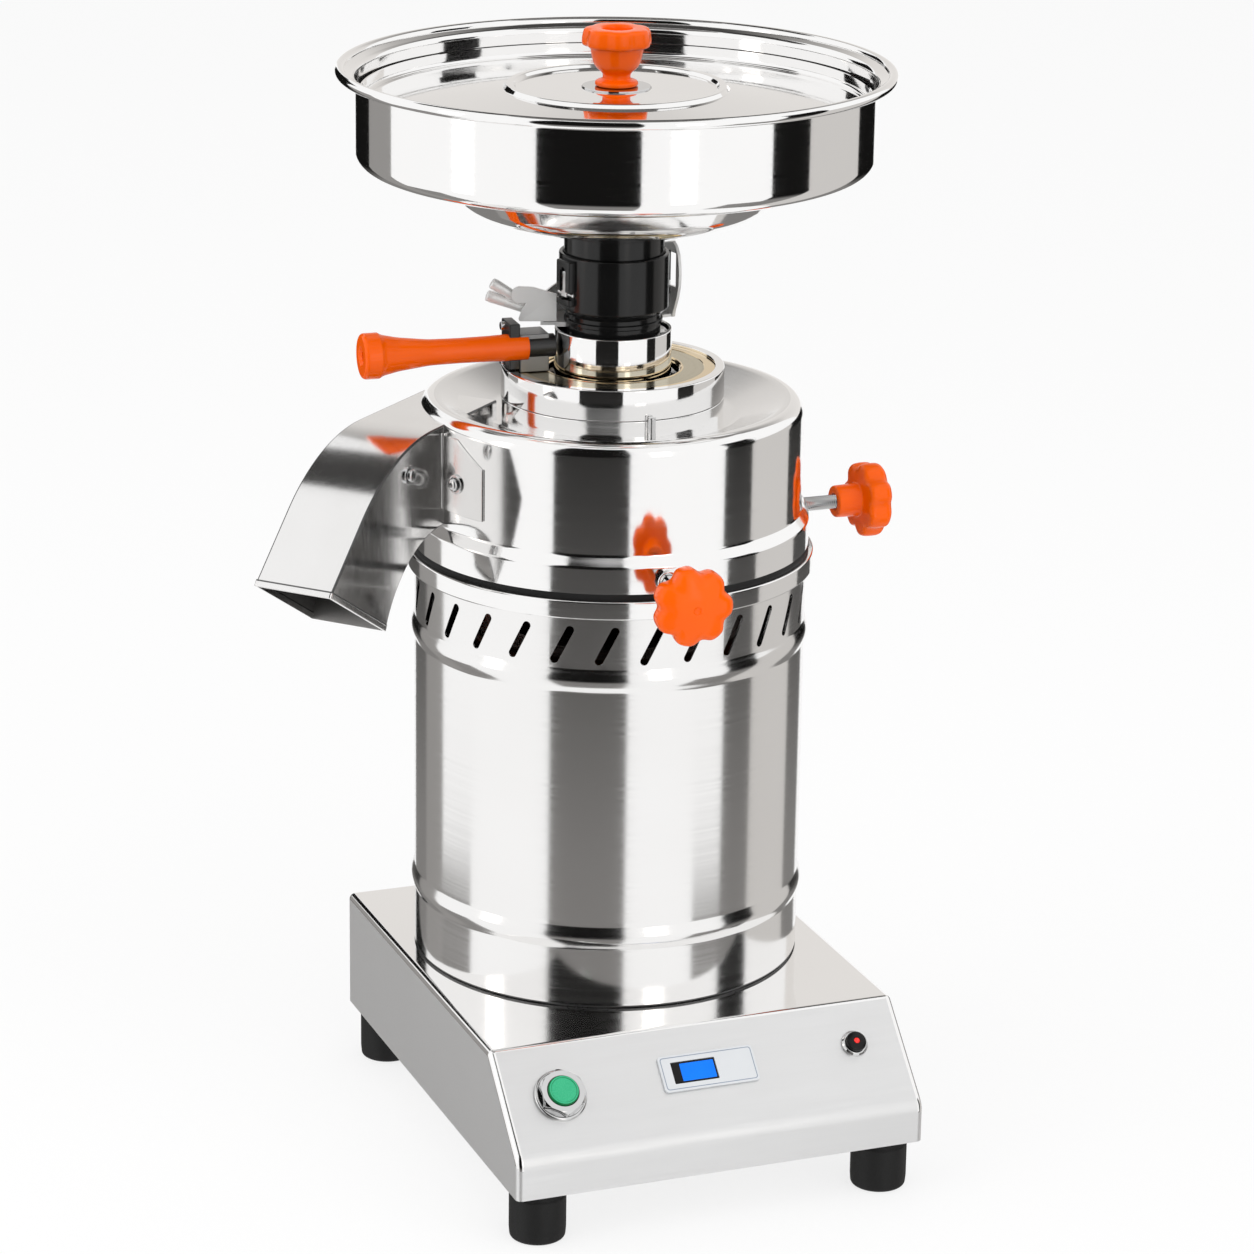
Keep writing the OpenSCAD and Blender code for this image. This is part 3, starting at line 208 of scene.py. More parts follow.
# An open line moved to its left
def beside(line, shift):
    points = [Vector(p) for p in line]
    moved_line = []
    for index, here in enumerate(points):
        before = (here - points[index - 1]).normalized() if index else (points[1] - here).normalized()
        last = index == len(points) - 1
        after = before if last else (points[index + 1] - here).normalized()
        left = Vector((-before.y, before.x))
        middle = (left + Vector((-after.y, after.x))).normalized()
        moved_line.append(tuple(here + middle * shift / middle.dot(left)))
    return moved_line


def sheet_section(line, sheet):
    return line + beside(line, sheet)[::-1]


def stadium(width, length):
    run = (length - width) / 2
    return arc((0, run), width / 2, 0, 180) + arc((0, -run), width / 2, 180, 360)


def rectangle(width, height, corner):
    x = width / 2
    y = height / 2
    return rounded([(-x, -y, corner), (x, -y, corner), (x, y, corner), (-x, y, corner)])


# Modelling

def only(piece):
    bpy.ops.object.select_all(action="DESELECT")
    piece.select_set(True)
    bpy.context.view_layer.objects.active = piece


def edit(piece):
    only(piece)
    bpy.ops.object.mode_set(mode="EDIT")


def leave_edit():
    bpy.ops.object.mode_set(mode="OBJECT")


# Selects the vertices, edges or faces of the piece in edit mode that pass a test
def pick(piece, kind, test):
    bpy.ops.mesh.select_mode(type=kind)
    bpy.ops.mesh.select_all(action="DESELECT")
    mesh = bmesh.from_edit_mesh(piece.data)
    for element in {"VERT": mesh.verts, "EDGE": mesh.edges, "FACE": mesh.faces}[kind]:
        if test(element):
            element.select_set(True)
    mesh.select_flush_mode()
    bmesh.update_edit_mesh(piece.data)


def weld():
    bpy.ops.mesh.select_all(action="SELECT")
    bpy.ops.mesh.remove_doubles(threshold=WELD)
    bpy.ops.mesh.normals_make_consistent(inside=False)


# Draws a line from point to point, and stays in edit mode
def drawn(name, points):
    bpy.ops.object.select_all(action="DESELECT")
    bpy.ops.mesh.primitive_plane_add(size=MM)
    piece = bpy.context.object
    piece.name = name
    piece.data.name = name
    bpy.ops.object.mode_set(mode="EDIT")
    bpy.ops.mesh.select_mode(type="VERT")
    bpy.ops.mesh.select_all(action="SELECT")
    bpy.ops.mesh.merge(type="CENTER")
    bpy.ops.transform.translate(value=Vector(points[0]) * MM)
    for start, end in zip(points, points[1:]):
        step = (Vector(end) - Vector(start)) * MM
        bpy.ops.mesh.extrude_region_move(TRANSFORM_OT_translate={"value": step})
    return piece


def placed(piece, matrix):
    piece.matrix_world = matrix
    only(piece)
    bpy.ops.object.transform_apply(location=True, rotation=True, scale=True)
    return piece


# Turns an outline of radius and height about Z; one that starts off the axis is a closed outline
def turned(name, outline, steps=ROUND, matrix=None):
    points = [(r, 0, z) for r, z in outline]
    if outline[0][0] > 0:
        points.append(points[0])
    piece = drawn(name, points)
    bpy.ops.mesh.select_all(action="SELECT")
    bpy.ops.mesh.spin(steps=steps, angle=2 * math.pi, center=(0, 0, 0), axis=(0, 0, 1))
    weld()
    leave_edit()
    if matrix:
        placed(piece, matrix)
    return piece


# Turns a closed outline of radius and height from one direction to another
def partly_turned(name, outline, start, end, steps):
    points = [tuple(outward(start) * r + UP * z) for r, z in outline]
    piece = drawn(name, points + points[:1])
    bpy.ops.mesh.select_all(action="SELECT")
    bpy.ops.mesh.remove_doubles(threshold=WELD)
    bpy.ops.mesh.edge_face_add()
    bpy.ops.mesh.spin(steps=steps, angle=math.radians(start - end), center=(0, 0, 0), axis=(0, 0, 1))
    weld()
    leave_edit()
    return piece


# Extrudes a closed outline along Z
def slab(name, outline, depth, matrix=None):
    points = [(x, y, 0) for x, y in outline]
    piece = drawn(name, points + points[:1])
    bpy.ops.mesh.select_all(action="SELECT")
    bpy.ops.mesh.remove_doubles(threshold=WELD)
    bpy.ops.mesh.edge_face_add()
    bpy.ops.mesh.extrude_region_move(TRANSFORM_OT_translate={"value": (0, 0, depth * MM)})
    weld()
    leave_edit()
    if matrix:
        placed(piece, matrix)
    return piece


def rod(name, radius, start, end, matrix=None, steps=SMALL_ROUND):
    return turned(name, [(0, start), (radius, start), (radius, end), (0, end)], steps, matrix)


# A box between two corners
def block(name, corner, opposite, matrix=None):
    outline = [corner[:2], (opposite[0], corner[1]), opposite[:2], (corner[0], opposite[1])]
    piece = slab(name, outline, opposite[2] - corner[2], moved(0, 0, corner[2]))
    if matrix:
        placed(piece, matrix)
    return piece


def modify(piece, kind, **settings):
    only(piece)
    change = piece.modifiers.new(kind.title(), kind)
    for setting, value in settings.items():
        setattr(change, setting, value)
    bpy.ops.object.modifier_apply(modifier=change.name)
    return piece


def combine(piece, operation, *tools):
    for tool in tools:
        modify(piece, "BOOLEAN", operation=operation, solver="EXACT", object=tool)
        bpy.data.objects.remove(tool)
    return piece


def cut(piece, *cutters):
    return combine(piece, "DIFFERENCE", *cutters)


def soften(piece, width, segments=3, angle=40):
    return modify(piece, "BEVEL", width=width * MM, segments=segments, limit_method="ANGLE",
                  angle_limit=math.radians(angle), use_clamp_overlap=True)


# Copies a piece to several places and joins the copies
def copied(piece, places):
    copies = []
    for matrix in places:
        copy = piece.copy()
        copy.data = piece.data.copy()
        bpy.context.collection.objects.link(copy)
        copies.append(placed(copy, matrix @ piece.matrix_world))
    name = piece.name
    bpy.data.objects.remove(piece)
    return joined(name, *copies)


def joined(name, *pieces):
    bpy.ops.object.select_all(action="DESELECT")
    for piece in pieces:
        piece.select_set(True)
    bpy.context.view_layer.objects.active = pieces[0]
    bpy.ops.object.join()
    whole = bpy.context.object
    whole.name = name
    whole.data.name = name
    return whole


# Cuts the flats of a hexagon round Z
def six_flats(piece, across):
    edit(piece)
    for side in range(6):
        normal = Matrix.Rotation(math.radians(60 * side), 3, "Z") @ Vector((1, 0, 0))
        bpy.ops.mesh.select_all(action="SELECT")
        bpy.ops.mesh.bisect(plane_co=normal * across / 2 * MM, plane_no=normal,
                            clear_outer=True, use_fill=True)
    weld()
    leave_edit()
    return piece


# Finishes

# Marks that run round the axis, as from a polishing wheel, and broad clouds
def marks_group(name, round_the_axis):
    group = bpy.data.node_groups.new(name, "ShaderNodeTree")
    stretch = group.interface.new_socket("Stretch", in_out="INPUT", socket_type="NodeSocketVector")
    stretch.default_value = (1, 1, 1)
    group.interface.new_socket("Fine Scale", in_out="INPUT", socket_type="NodeSocketFloat")
    group.interface.new_socket("Broad Scale", in_out="INPUT", socket_type="NodeSocketFloat")
    group.interface.new_socket("Fine", in_out="OUTPUT", socket_type="NodeSocketFloat")
    group.interface.new_socket("Broad", in_out="OUTPUT", socket_type="NodeSocketFloat")
    nodes = group.nodes
    links = group.links
    given = nodes.new("NodeGroupInput")
    made = nodes.new("NodeGroupOutput")
    place = nodes.new("ShaderNodeTexCoord").outputs["Object"]
    where = place
    if round_the_axis:
        parts = nodes.new("ShaderNodeSeparateXYZ")
        links.new(place, parts.inputs[0])
        flat = nodes.new("ShaderNodeCombineXYZ")
        links.new(parts.outputs["X"], flat.inputs["X"])
        links.new(parts.outputs["Y"], flat.inputs["Y"])
        radius = nodes.new("ShaderNodeVectorMath")
        radius.operation = "LENGTH"
        links.new(flat.outputs[0], radius.inputs[0])
        wheel = nodes.new("ShaderNodeCombineXYZ")
        links.new(radius.outputs["Value"], wheel.inputs["X"])
        links.new(parts.outputs["Z"], wheel.inputs["Z"])
        where = wheel.outputs[0]
    spread = nodes.new("ShaderNodeVectorMath")
    spread.operation = "MULTIPLY"
    links.new(where, spread.inputs[0])
    links.new(given.outputs["Stretch"], spread.inputs[1])
    for output, source, detail in (("Fine", spread.outputs[0], 4), ("Broad", place, 2)):
        noise = nodes.new("ShaderNodeTexNoise")
        noise.inputs["Detail"].default_value = detail
        links.new(source, noise.inputs["Vector"])
        links.new(given.outputs[output + " Scale"], noise.inputs["Scale"])
        links.new(noise.outputs["Fac"], made.inputs[output])
    return group


WHEEL_MARKS = marks_group("wheel_marks", True)
PLAIN_MARKS = marks_group("plain_marks", False)

NOISE_LOW = 0.3
NOISE_HIGH = 0.7
SMOOTH_ANGLE = 32
KNOB_ANGLE = 60
SOCKETS = {"specular_ior_level": "Specular IOR Level"}


# Clouds run from dark to light, and fine marks from smooth to rough; the relief is in millimetres
def finish(name, marks, dark, light, smooth, rough, relief, stretch=(1, 1, 1), fine=600, broad=14, **sockets):
    material = bpy.data.materials.new(name)
    material.use_nodes = True
    nodes = material.node_tree.nodes
    links = material.node_tree.links
    shader = nodes["Principled BSDF"]
    group = nodes.new("ShaderNodeGroup")
    group.node_tree = marks
    group.inputs["Stretch"].default_value = stretch
    group.inputs["Fine Scale"].default_value = fine
    group.inputs["Broad Scale"].default_value = broad
    tint = nodes.new("ShaderNodeMix")
    tint.data_type = "RGBA"
    tint.inputs["A"].default_value = (*dark, 1)
    tint.inputs["B"].default_value = (*light, 1)
    links.new(group.outputs["Broad"], tint.inputs["Factor"])
    links.new(tint.outputs["Result"], shader.inputs["Base Color"])
    gloss = nodes.new("ShaderNodeMapRange")
    gloss.inputs["From Min"].default_value = NOISE_LOW
    gloss.inputs["From Max"].default_value = NOISE_HIGH
    gloss.inputs["To Min"].default_value = smooth
    gloss.inputs["To Max"].default_value = rough
    links.new(group.outputs["Fine"], gloss.inputs["Value"])
    links.new(gloss.outputs["Result"], shader.inputs["Roughness"])
    bump = nodes.new("ShaderNodeBump")
    bump.inputs["Strength"].default_value = 1
    bump.inputs["Distance"].default_value = relief * MM
    links.new(group.outputs["Fine"], bump.inputs["Height"])
    links.new(bump.outputs["Normal"], shader.inputs["Normal"])
    for socket, value in sockets.items():
        shader.inputs[SOCKETS.get(socket, socket.replace("_", " ").title())].default_value = value
    return material


def grey(value):
    return (value, value, value)


WARM_DARK = (0.91, 0.903, 0.896)
WARM_LIGHT = (0.96, 0.955, 0.95)

LOOKS = {
    "satin_steel": finish("satin_steel", PLAIN_MARKS, grey(0.77), grey(0.82), 0.34, 0.46, 0.003,
                          stretch=(0.03, 1, 1), fine=900, broad=9, metallic=0.8),
    "polished_steel": finish("polished_steel", WHEEL_MARKS, WARM_DARK, WARM_LIGHT, 0.04, 0.09, 0.0006,
                             fine=420, broad=12, metallic=1.0),
    "chamber_steel": finish("chamber_steel", WHEEL_MARKS, WARM_DARK, WARM_LIGHT, 0.07, 0.12, 0.001,
                            fine=500, broad=12, metallic=1.0),
    "drum_steel": finish("drum_steel", WHEEL_MARKS, (0.87, 0.86, 0.85), (0.92, 0.915, 0.91), 0.10, 0.16,
                         0.0012, fine=600, broad=10, metallic=1.0),
    "base_top_steel": finish("base_top_steel", PLAIN_MARKS, WARM_DARK, WARM_LIGHT, 0.07, 0.11, 0.0003,
                             stretch=(0.05, 1, 1), fine=500, broad=12, metallic=1.0),
    "chute_steel": finish("chute_steel", PLAIN_MARKS, (0.82, 0.81, 0.80), (0.90, 0.895, 0.89), 0.12, 0.17,
                          0.0005, stretch=(1, 1, 0.15), fine=600, broad=25, metallic=1.0),
    "dish_steel": finish("dish_steel", WHEEL_MARKS, (0.80, 0.795, 0.79), (0.86, 0.855, 0.85), 0.13, 0.18,
                         0.0002, fine=600, broad=12, metallic=1.0),
    "bracket_steel": finish("bracket_steel", PLAIN_MARKS, (0.78, 0.78, 0.77), (0.86, 0.86, 0.85), 0.32, 0.42,
                            0.001, stretch=(1, 1, 0.2), fine=700, broad=30, metallic=0.3),
    # Painted shade: dark metal laid on the insides of the duct and drum and in the gaps by the hopper's lid,
    # standing for the shade in them
    "duct_inside": finish("duct_inside", PLAIN_MARKS, (0.24, 0.235, 0.23), (0.34, 0.335, 0.33), 0.35, 0.5,
                          0.004, fine=800, broad=40, metallic=1.0),
    "bright_steel": finish("bright_steel", WHEEL_MARKS, grey(0.62), grey(0.70), 0.14, 0.24, 0.001,
                           fine=700, broad=20, metallic=1.0),
    "zinc_steel": finish("zinc_steel", PLAIN_MARKS, (0.58, 0.59, 0.61), (0.68, 0.69, 0.70), 0.14, 0.26,
                         0.001, fine=900, broad=60, metallic=1.0),
    "chrome_trim": finish("chrome_trim", PLAIN_MARKS, grey(0.62), grey(0.70), 0.03, 0.07, 0.0003,
                          fine=500, broad=40, metallic=1.0),
    "cast_alloy": finish("cast_alloy", PLAIN_MARKS, grey(0.20), grey(0.26), 0.32, 0.44, 0.002,
                         fine=1100, broad=30, metallic=0.7),
    "lamination": finish("lamination", PLAIN_MARKS, grey(0.16), grey(0.24), 0.4, 0.55, 0.02,
                         stretch=(0.1, 0.1, 1), fine=1600, broad=30, metallic=0.8),
    "copper_winding": finish("copper_winding", WHEEL_MARKS, (0.050, 0.017, 0.007), (0.095, 0.032, 0.011),
                             0.25, 0.4, 0.05, fine=900, broad=40, metallic=0.9),
    "black_rubber": finish("black_rubber", PLAIN_MARKS, grey(0.007), grey(0.012), 0.5, 0.65, 0.01,
                           fine=1500, broad=40, specular_ior_level=0.3),
    "black_plastic": finish("black_plastic", PLAIN_MARKS, grey(0.008), grey(0.013), 0.26, 0.36, 0.003,
                            fine=1800, broad=40),
    "gloss_black": finish("gloss_black", WHEEL_MARKS, grey(0.005), grey(0.009), 0.12, 0.18, 0.0006,
                          fine=900, broad=40, specular_ior_level=0.38),
    "lamp_black": finish("lamp_black", PLAIN_MARKS, grey(0.004), grey(0.007), 0.2, 0.3, 0.0005,
                         fine=900, broad=90, specular_ior_level=0.25),
    # Painted shade: dark metal laid on fold edges, the chute's hem groove and the drum's foot, standing for
    # their shade and dark reflections
    "painted_shade_line": finish("painted_shade_line", PLAIN_MARKS, grey(0.10), grey(0.16), 0.25, 0.35, 0.001,
                        fine=900, broad=60, metallic=1.0),
    "orange_plastic": finish("orange_plastic", PLAIN_MARKS, (0.92, 0.104, 0.0), (0.99, 0.130, 0.0),
                             0.12, 0.20, 0.0006, fine=1400, broad=45, specular_ior_level=0.24),
    "green_plastic": finish("green_plastic", PLAIN_MARKS, (0.002, 0.13, 0.035), (0.004, 0.18, 0.055),
                            0.2, 0.3, 0.001, fine=1200, broad=80, specular_ior_level=0.3),
    "mint_face": finish("mint_face", PLAIN_MARKS, (0.03, 0.42, 0.20), (0.05, 0.50, 0.25),
                        0.22, 0.32, 0.001, fine=1200, broad=80, specular_ior_level=0.3),
    "red_lens": finish("red_lens", PLAIN_MARKS, (0.75, 0.02, 0.02), (0.9, 0.04, 0.03), 0.1, 0.2, 0.001,
                       fine=1200, broad=200, emission_color=(1, 0.03, 0.02, 1), emission_strength=0.35),
    "white_plastic": finish("white_plastic", PLAIN_MARKS, (0.66, 0.68, 0.70), (0.72, 0.74, 0.76),
                            0.28, 0.38, 0.001, fine=1500, broad=60, specular_ior_level=0.3),
    "border_line": finish("border_line", PLAIN_MARKS, (0.20, 0.25, 0.34), (0.26, 0.31, 0.40),
                          0.3, 0.4, 0.0005, fine=1500, broad=60),
    "screen_glass": finish("screen_glass", PLAIN_MARKS, grey(0.004), grey(0.007), 0.08, 0.14, 0.0003,
                           fine=600, broad=60, specular_ior_level=0.2),
    "blue_screen": finish("blue_screen", PLAIN_MARKS, (0.0, 0.10, 0.52), (0.0, 0.14, 0.62), 0.08, 0.14,
                          0.0003, fine=600, broad=90, specular_ior_level=0.2,
                          emission_color=(0.0, 0.13, 0.72, 1), emission_strength=0.7),
    "gold_dial": finish("gold_dial", WHEEL_MARKS, (0.74, 0.57, 0.33), (0.82, 0.65, 0.40), 0.09, 0.16,
                        0.001, fine=900, broad=30, metallic=1.0),
    "olive_ring": finish("olive_ring", WHEEL_MARKS, (0.45, 0.40, 0.27), (0.52, 0.46, 0.32), 0.16, 0.26,
                         0.002, fine=1100, broad=30, metallic=1.0),
    "mill_stone": finish("mill_stone", PLAIN_MARKS, (0.34, 0.28, 0.20), (0.52, 0.45, 0.34), 0.7, 0.9,
                         0.25, fine=500, broad=120),
}


# Smooths a finished piece, gives it its finish, ties it to its body, and hides the nodes it stands for
def dress(piece, body, slot, *nodes, look=None, angle=SMOOTH_ANGLE):
    only(piece)
    bpy.ops.object.shade_smooth_by_angle(angle=math.radians(angle))
    modify(piece, "WEIGHTED_NORMAL", keep_sharp=True)
    piece.data.materials.clear()
    piece.data.materials.append(LOOKS[look or slot])
    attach(piece, body)
    if nodes:
        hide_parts(*nodes)
    return piece


# Gives the faces that pass a test a second finish
def face_finish(piece, look, test):
    piece.data.materials.append(LOOKS[look])
    for face in piece.data.polygons:
        if test(face):
            face.material_index = len(piece.data.materials) - 1


# Base

BASE_SHEET = 1.2
BUTTON = (-84.8, 31)
DISPLAY = (0.9, 28)
SCREEN = (DISPLAY[0] - 8.1, DISPLAY[1])
INDICATOR = (87.7, 25.4)
GLAND = (60, 62.5)
GLAND_R = 8.1
BARREL_R = 11.1
LAMP_BARREL_R = 5.6
SCREEN_W = 25
SCREEN_H = 12


def folded_base():
    fold = 4
    lip_fold = 11
    side_round = 3.6
    outline = rounded([(-BASE_BACK, Z_BASE), (-BASE_BACK, Z_TOP, fold), (PANEL_TOP, Z_TOP, fold),
                       (BASE_FRONT, Z_FOLD, lip_fold), (BASE_FRONT, Z_BASE)])
    piece = slab("base_body", outline, 2 * BASE_SIDE, side_on(0, BASE_SIDE))
    edit(piece)
    pick(piece, "EDGE", lambda e: abs(e.verts[0].co.x - e.verts[1].co.x) < MM
         and max(v.co.z / MM for v in e.verts) > Z_BASE + 0.1)
    bpy.ops.mesh.bevel(offset=side_round * MM, segments=4, affect="EDGES")
    pick(piece, "FACE", lambda f: f.normal.z < -0.9)
    bpy.ops.mesh.delete(type="FACE")
    leave_edit()
    modify(piece, "SOLIDIFY", thickness=BASE_SHEET * MM, offset=-1, use_even_offset=True)
    reach = 6
    window = rectangle(SCREEN_W + 0.6, SCREEN_H + 0.6, 0.4)
    cut(piece,
        rod("drum_hole", DRUM_R - 22, Z_TOP - reach, Z_TOP + reach, steps=ROUND),
        rod("button_hole", BARREL_R, -reach, reach, on_panel(*BUTTON)),
        rod("lamp_hole", LAMP_BARREL_R, -reach, reach, on_panel(*INDICATOR)),
        slab("screen_hole", window, 2 * reach, on_panel(*SCREEN) @ moved(0, 0, -reach)),
        rod("gland_hole", GLAND_R, -reach, reach,
            outward_at(180, BASE_BACK, GLAND[1]) @ moved(-GLAND[0], 0, 0)))
    dress(piece, "frame", "satin_steel", "base_housing")
    face_finish(piece, "base_top_steel",
                lambda f: f.normal.z > 0.75 or (f.normal.z > 0.05 and abs(f.normal.x) > 0.05))


def round_feet():
    foot_h = high("rubber_feet").z
    foot_r = high("rubber_feet").x - (BASE_SIDE - FOOT_INSET)
    outline = rounded([(3.15, foot_h), (3.15, 8), (6.5, 8, 0.4), (6.5, 0.0, 0.5), (foot_r - 0.5, 0, 2.2),
                       (foot_r, 6), (foot_r, foot_h - 5, 0.6), (foot_r - 0.9, foot_h - 4, 0.6),
                       (foot_r - 0.9, foot_h)])
    places = []
    for x in (-BASE_SIDE + FOOT_INSET, BASE_SIDE - FOOT_INSET):
        for y in (-BASE_FRONT + FOOT_INSET, BASE_BACK - FOOT_INSET):
            places.append(moved(x, y, 0))
    dress(copied(turned("feet", outline, SMALL_ROUND), places), "frame", "black_rubber", "rubber_feet")


def push_button():
    bezel_t = 2.2
    bezel = rounded([(BARREL_R, 0), (14.6, 0), (14.6, bezel_t, 1.1), (13.2, bezel_t, 0.3),
                     (12.9, bezel_t - 0.3, 0.2), (BARREL_R, bezel_t - 0.3)])
    place = on_panel(*BUTTON)
    dress(turned("button_ring", bezel, SMALL_ROUND, place), "frame", "chrome_trim", "button_bezel")
    barrel_top = bezel_t + 4.6
    face = barrel_top + 0.3
    nut = [(BARREL_R, bezel_t - 0.3), (13, bezel_t - 0.3), (13, face - 1), (12, face - 0.1), (11.7, face),
           (8.95, face), (8.95, barrel_top + 0.02), (BARREL_R, barrel_top + 0.02)]
    flats = six_flats(turned("button_hexagon", nut, SMALL_ROUND), 2 * 11.6)
    dress(placed(flats, place), "frame", "chrome_trim", "button_nut")
    top = 8.8
    cap = rounded([(0, -4), (8.5, -4), (8.5, top, 1.1), (7.2, top, 0.2), (6.9, top - 0.3, 0.2),
                   (0, top - 0.5)])
    piece = turned("button_push", cap, SMALL_ROUND, place)
    dress(piece, "button", "green_plastic", "button_cap")
    out = place.to_3x3() @ Vector((0, 0, 1))
    centre = place.translation
    face_finish(piece, "mint_face",
                lambda f: f.normal.dot(out) > 0.8 and (f.center - centre).dot(out) > (top - 1) * MM)


def display():
    plate_t = 1.6
    place = on_panel(*DISPLAY)
    plate = slab("display_plate", rectangle(55, 21, 2.2), plate_t, place)
    soften(plate, 0.35)
    hole = slab("plate_window", rectangle(SCREEN_W + 0.6, SCREEN_H + 0.6, 0.5), 6,
                on_panel(*SCREEN) @ moved(0, 0, -3))
    dress(cut(plate, hole), "frame", "white_plastic", "display_frame")
    line = slab("display_line", rectangle(52.6, 18.6, 1.6), 0.1, place @ moved(0, 0, plate_t - 0.04))
    inside = slab("line_inside", rectangle(51.8, 17.8, 1.3), 2, place @ moved(0, 0, plate_t - 1))
    dress(cut(line, inside), "frame", "white_plastic", look="border_line")
    glass = slab("display_glass", rectangle(SCREEN_W, SCREEN_H, 0.3), 10.2,
                 on_panel(*SCREEN) @ moved(0, 0, -9))
    dress(soften(glass, 0.2, 2), "frame", "blue_screen", "display_screen", look="screen_glass")
    lit = slab("display_light", rectangle(19.5, 10.2, 0.4), 0.1, on_panel(*SCREEN) @ moved(2, 0, 1.16))
    dress(lit, "frame", "blue_screen")


def indicator():
    place = on_panel(*INDICATOR)
    ring = rounded([(0, -16), (5.5, -16), (5.5, 0), (7.5, 0), (7.5, 1.2, 0.6), (6.5, 2.4, 0.6), (6.0, 2.4),
                    (6.0, 1), (0, 1)])
    dress(turned("lamp_ring", ring, SMALL_ROUND, place), "frame", "chrome_trim", "indicator_bezel")
    face = [(1.75, 1), (5.7, 1), (5.7, 4.0), (5.4, 4.6), (4.4, 5.0), (2.6, 5.2), (1.75, 5.22)]
    dress(turned("lamp_face", face, SMALL_ROUND, place), "frame", "black_plastic", "indicator_face",
          look="lamp_black")
    lens = [(0, 1), (1.6, 1), (1.6, 4.9)] + [(1.6 * x, 4.9 + 0.8 * z) for x, z in arc((0, 0), 1, 0, 90)[1:]]
    dress(turned("lamp_lens", lens, 32, place), "frame", "red_lens", "indicator_lamp")


# Motor drum and flange

def bead(z_mid):
    height = 13.6
    out = 1.8
    steps = 20
    points = []
    for step in range(steps + 1):
        swell = max(0, math.sin(math.pi * step / steps)) ** 1.25
        points.append((DRUM_R + out * swell, z_mid - height / 2 + height * step / steps))
    return points


def motor_drum():
    foot_w = 8
    sheet = 1.2
    line = rounded([(DRUM_R - foot_w, Z_TOP), (DRUM_R, Z_TOP, 1.6), (DRUM_R, Z_TOP + 20)])
    line += bead(Z_TOP + 40.6) + bead(Z_DRUM - 35.7) + [(DRUM_R, Z_DRUM)]
    piece = turned("drum", sheet_section(line, sheet))
    vents = 28
    width = 4.5
    lean = math.radians(26.5)
    length = 21 / math.cos(lean)
    depth = 12
    slot = slab("vent", stadium(width, length), depth)
    places = []
    for vent in range(vents):
        az = -21.6 + vent * 360 / vents
        places.append(outward_at(az, DRUM_R - depth / 2, Z_DRUM - 15.8) @ Matrix.Rotation(-lean, 4, "Z"))
    dress(cut(piece, copied(slot, places)), "frame", "polished_steel", "motor_shell", look="drum_steel")
    # Painted shade on the drum's inside, seen through the vents
    face_finish(piece, "duct_inside",
                lambda f: f.normal.to_2d().dot(f.center.to_2d()) < -0.9 * f.center.to_2d().length)
    # A painted shadow line along the drum's rounded foot, where it meets the base
    face_finish(piece, "painted_shade_line", lambda f: f.center.z / MM < Z_TOP + 1.4 and f.normal.z < -0.05)


def motor_flange_piece():
    outline = rounded([(13.1, Z_DRUM - 16), (34, Z_DRUM - 16, 1), (34, Z_CHAMBER + 6, 2),
                       (98.8, Z_CHAMBER + 6, 2), (98.8, Z_DRUM), (112, Z_DRUM, 0.9), (112, Z_GASKET, 0.9),
                       (106.8, Z_GASKET), (106.8, Z_CHAMBER + 12, 0.6), (13.1, Z_CHAMBER + 12)])
    piece = turned("flange", outline)
    tie_at = 87.2
    hole = rod("tie_hole", 4.15, Z_DRUM - 1, Z_CHAMBER + 9.2, moved(tie_at, 0, 0), 32)
    bearing = rod("bearing_seat", 26, Z_DRUM - 12, Z_DRUM + 3)
    holes = copied(hole, [facing(45 + 90 * quarter) for quarter in range(4)])
    dress(cut(piece, bearing, holes), "frame", "cast_alloy", "motor_flange", look="chamber_steel")
    seal = rounded([(106.82, Z_GASKET), (109.1, Z_GASKET), (109.4, Z_GASKET + 0.9, 0.4),
                    (109.4, Z_CHAMBER - 0.9, 0.4), (109.1, Z_CHAMBER), (106.82, Z_CHAMBER)])
    dress(turned("seal", seal), "frame", "black_rubber", "flange_gasket")


# Grinding chamber and chute

Z_DUCT_TOP = Z_CREST - 4
Z_DUCT_LOW = Z_CHAMBER + 21.2
OUTER_BEND = 43.7
INNER_BEND = 68
DUCT_RUN = 47.7


# The duct's upper and lower lines in outward and up coordinates, moved inwards by a wall and past the mouth
def duct_lines(wall, past):
    top = arc((100, Z_DUCT_TOP - 110), 110 - wall, 90, 90 - OUTER_BEND, 20)
    bottom = arc((90, Z_DUCT_LOW - 67.6), 67.6 + wall, 90, 90 - INNER_BEND, 24)
    run = DUCT_RUN + past
    high_lip = (top[-1][0] + run * math.cos(math.radians(OUTER_BEND)),
                top[-1][1] - run * math.sin(math.radians(OUTER_BEND)))
    low_lip = (bottom[-1][0] + past * math.cos(math.radians(INNER_BEND)),
               bottom[-1][1] - past * math.sin(math.radians(INNER_BEND)))
    return top + [high_lip], bottom + [low_lip]


def duct(start, wall, past):
    top, bottom = duct_lines(wall, past)
    return [(start, Z_DUCT_TOP - wall)] + top + bottom[::-1] + [(start, Z_DUCT_LOW + wall)]


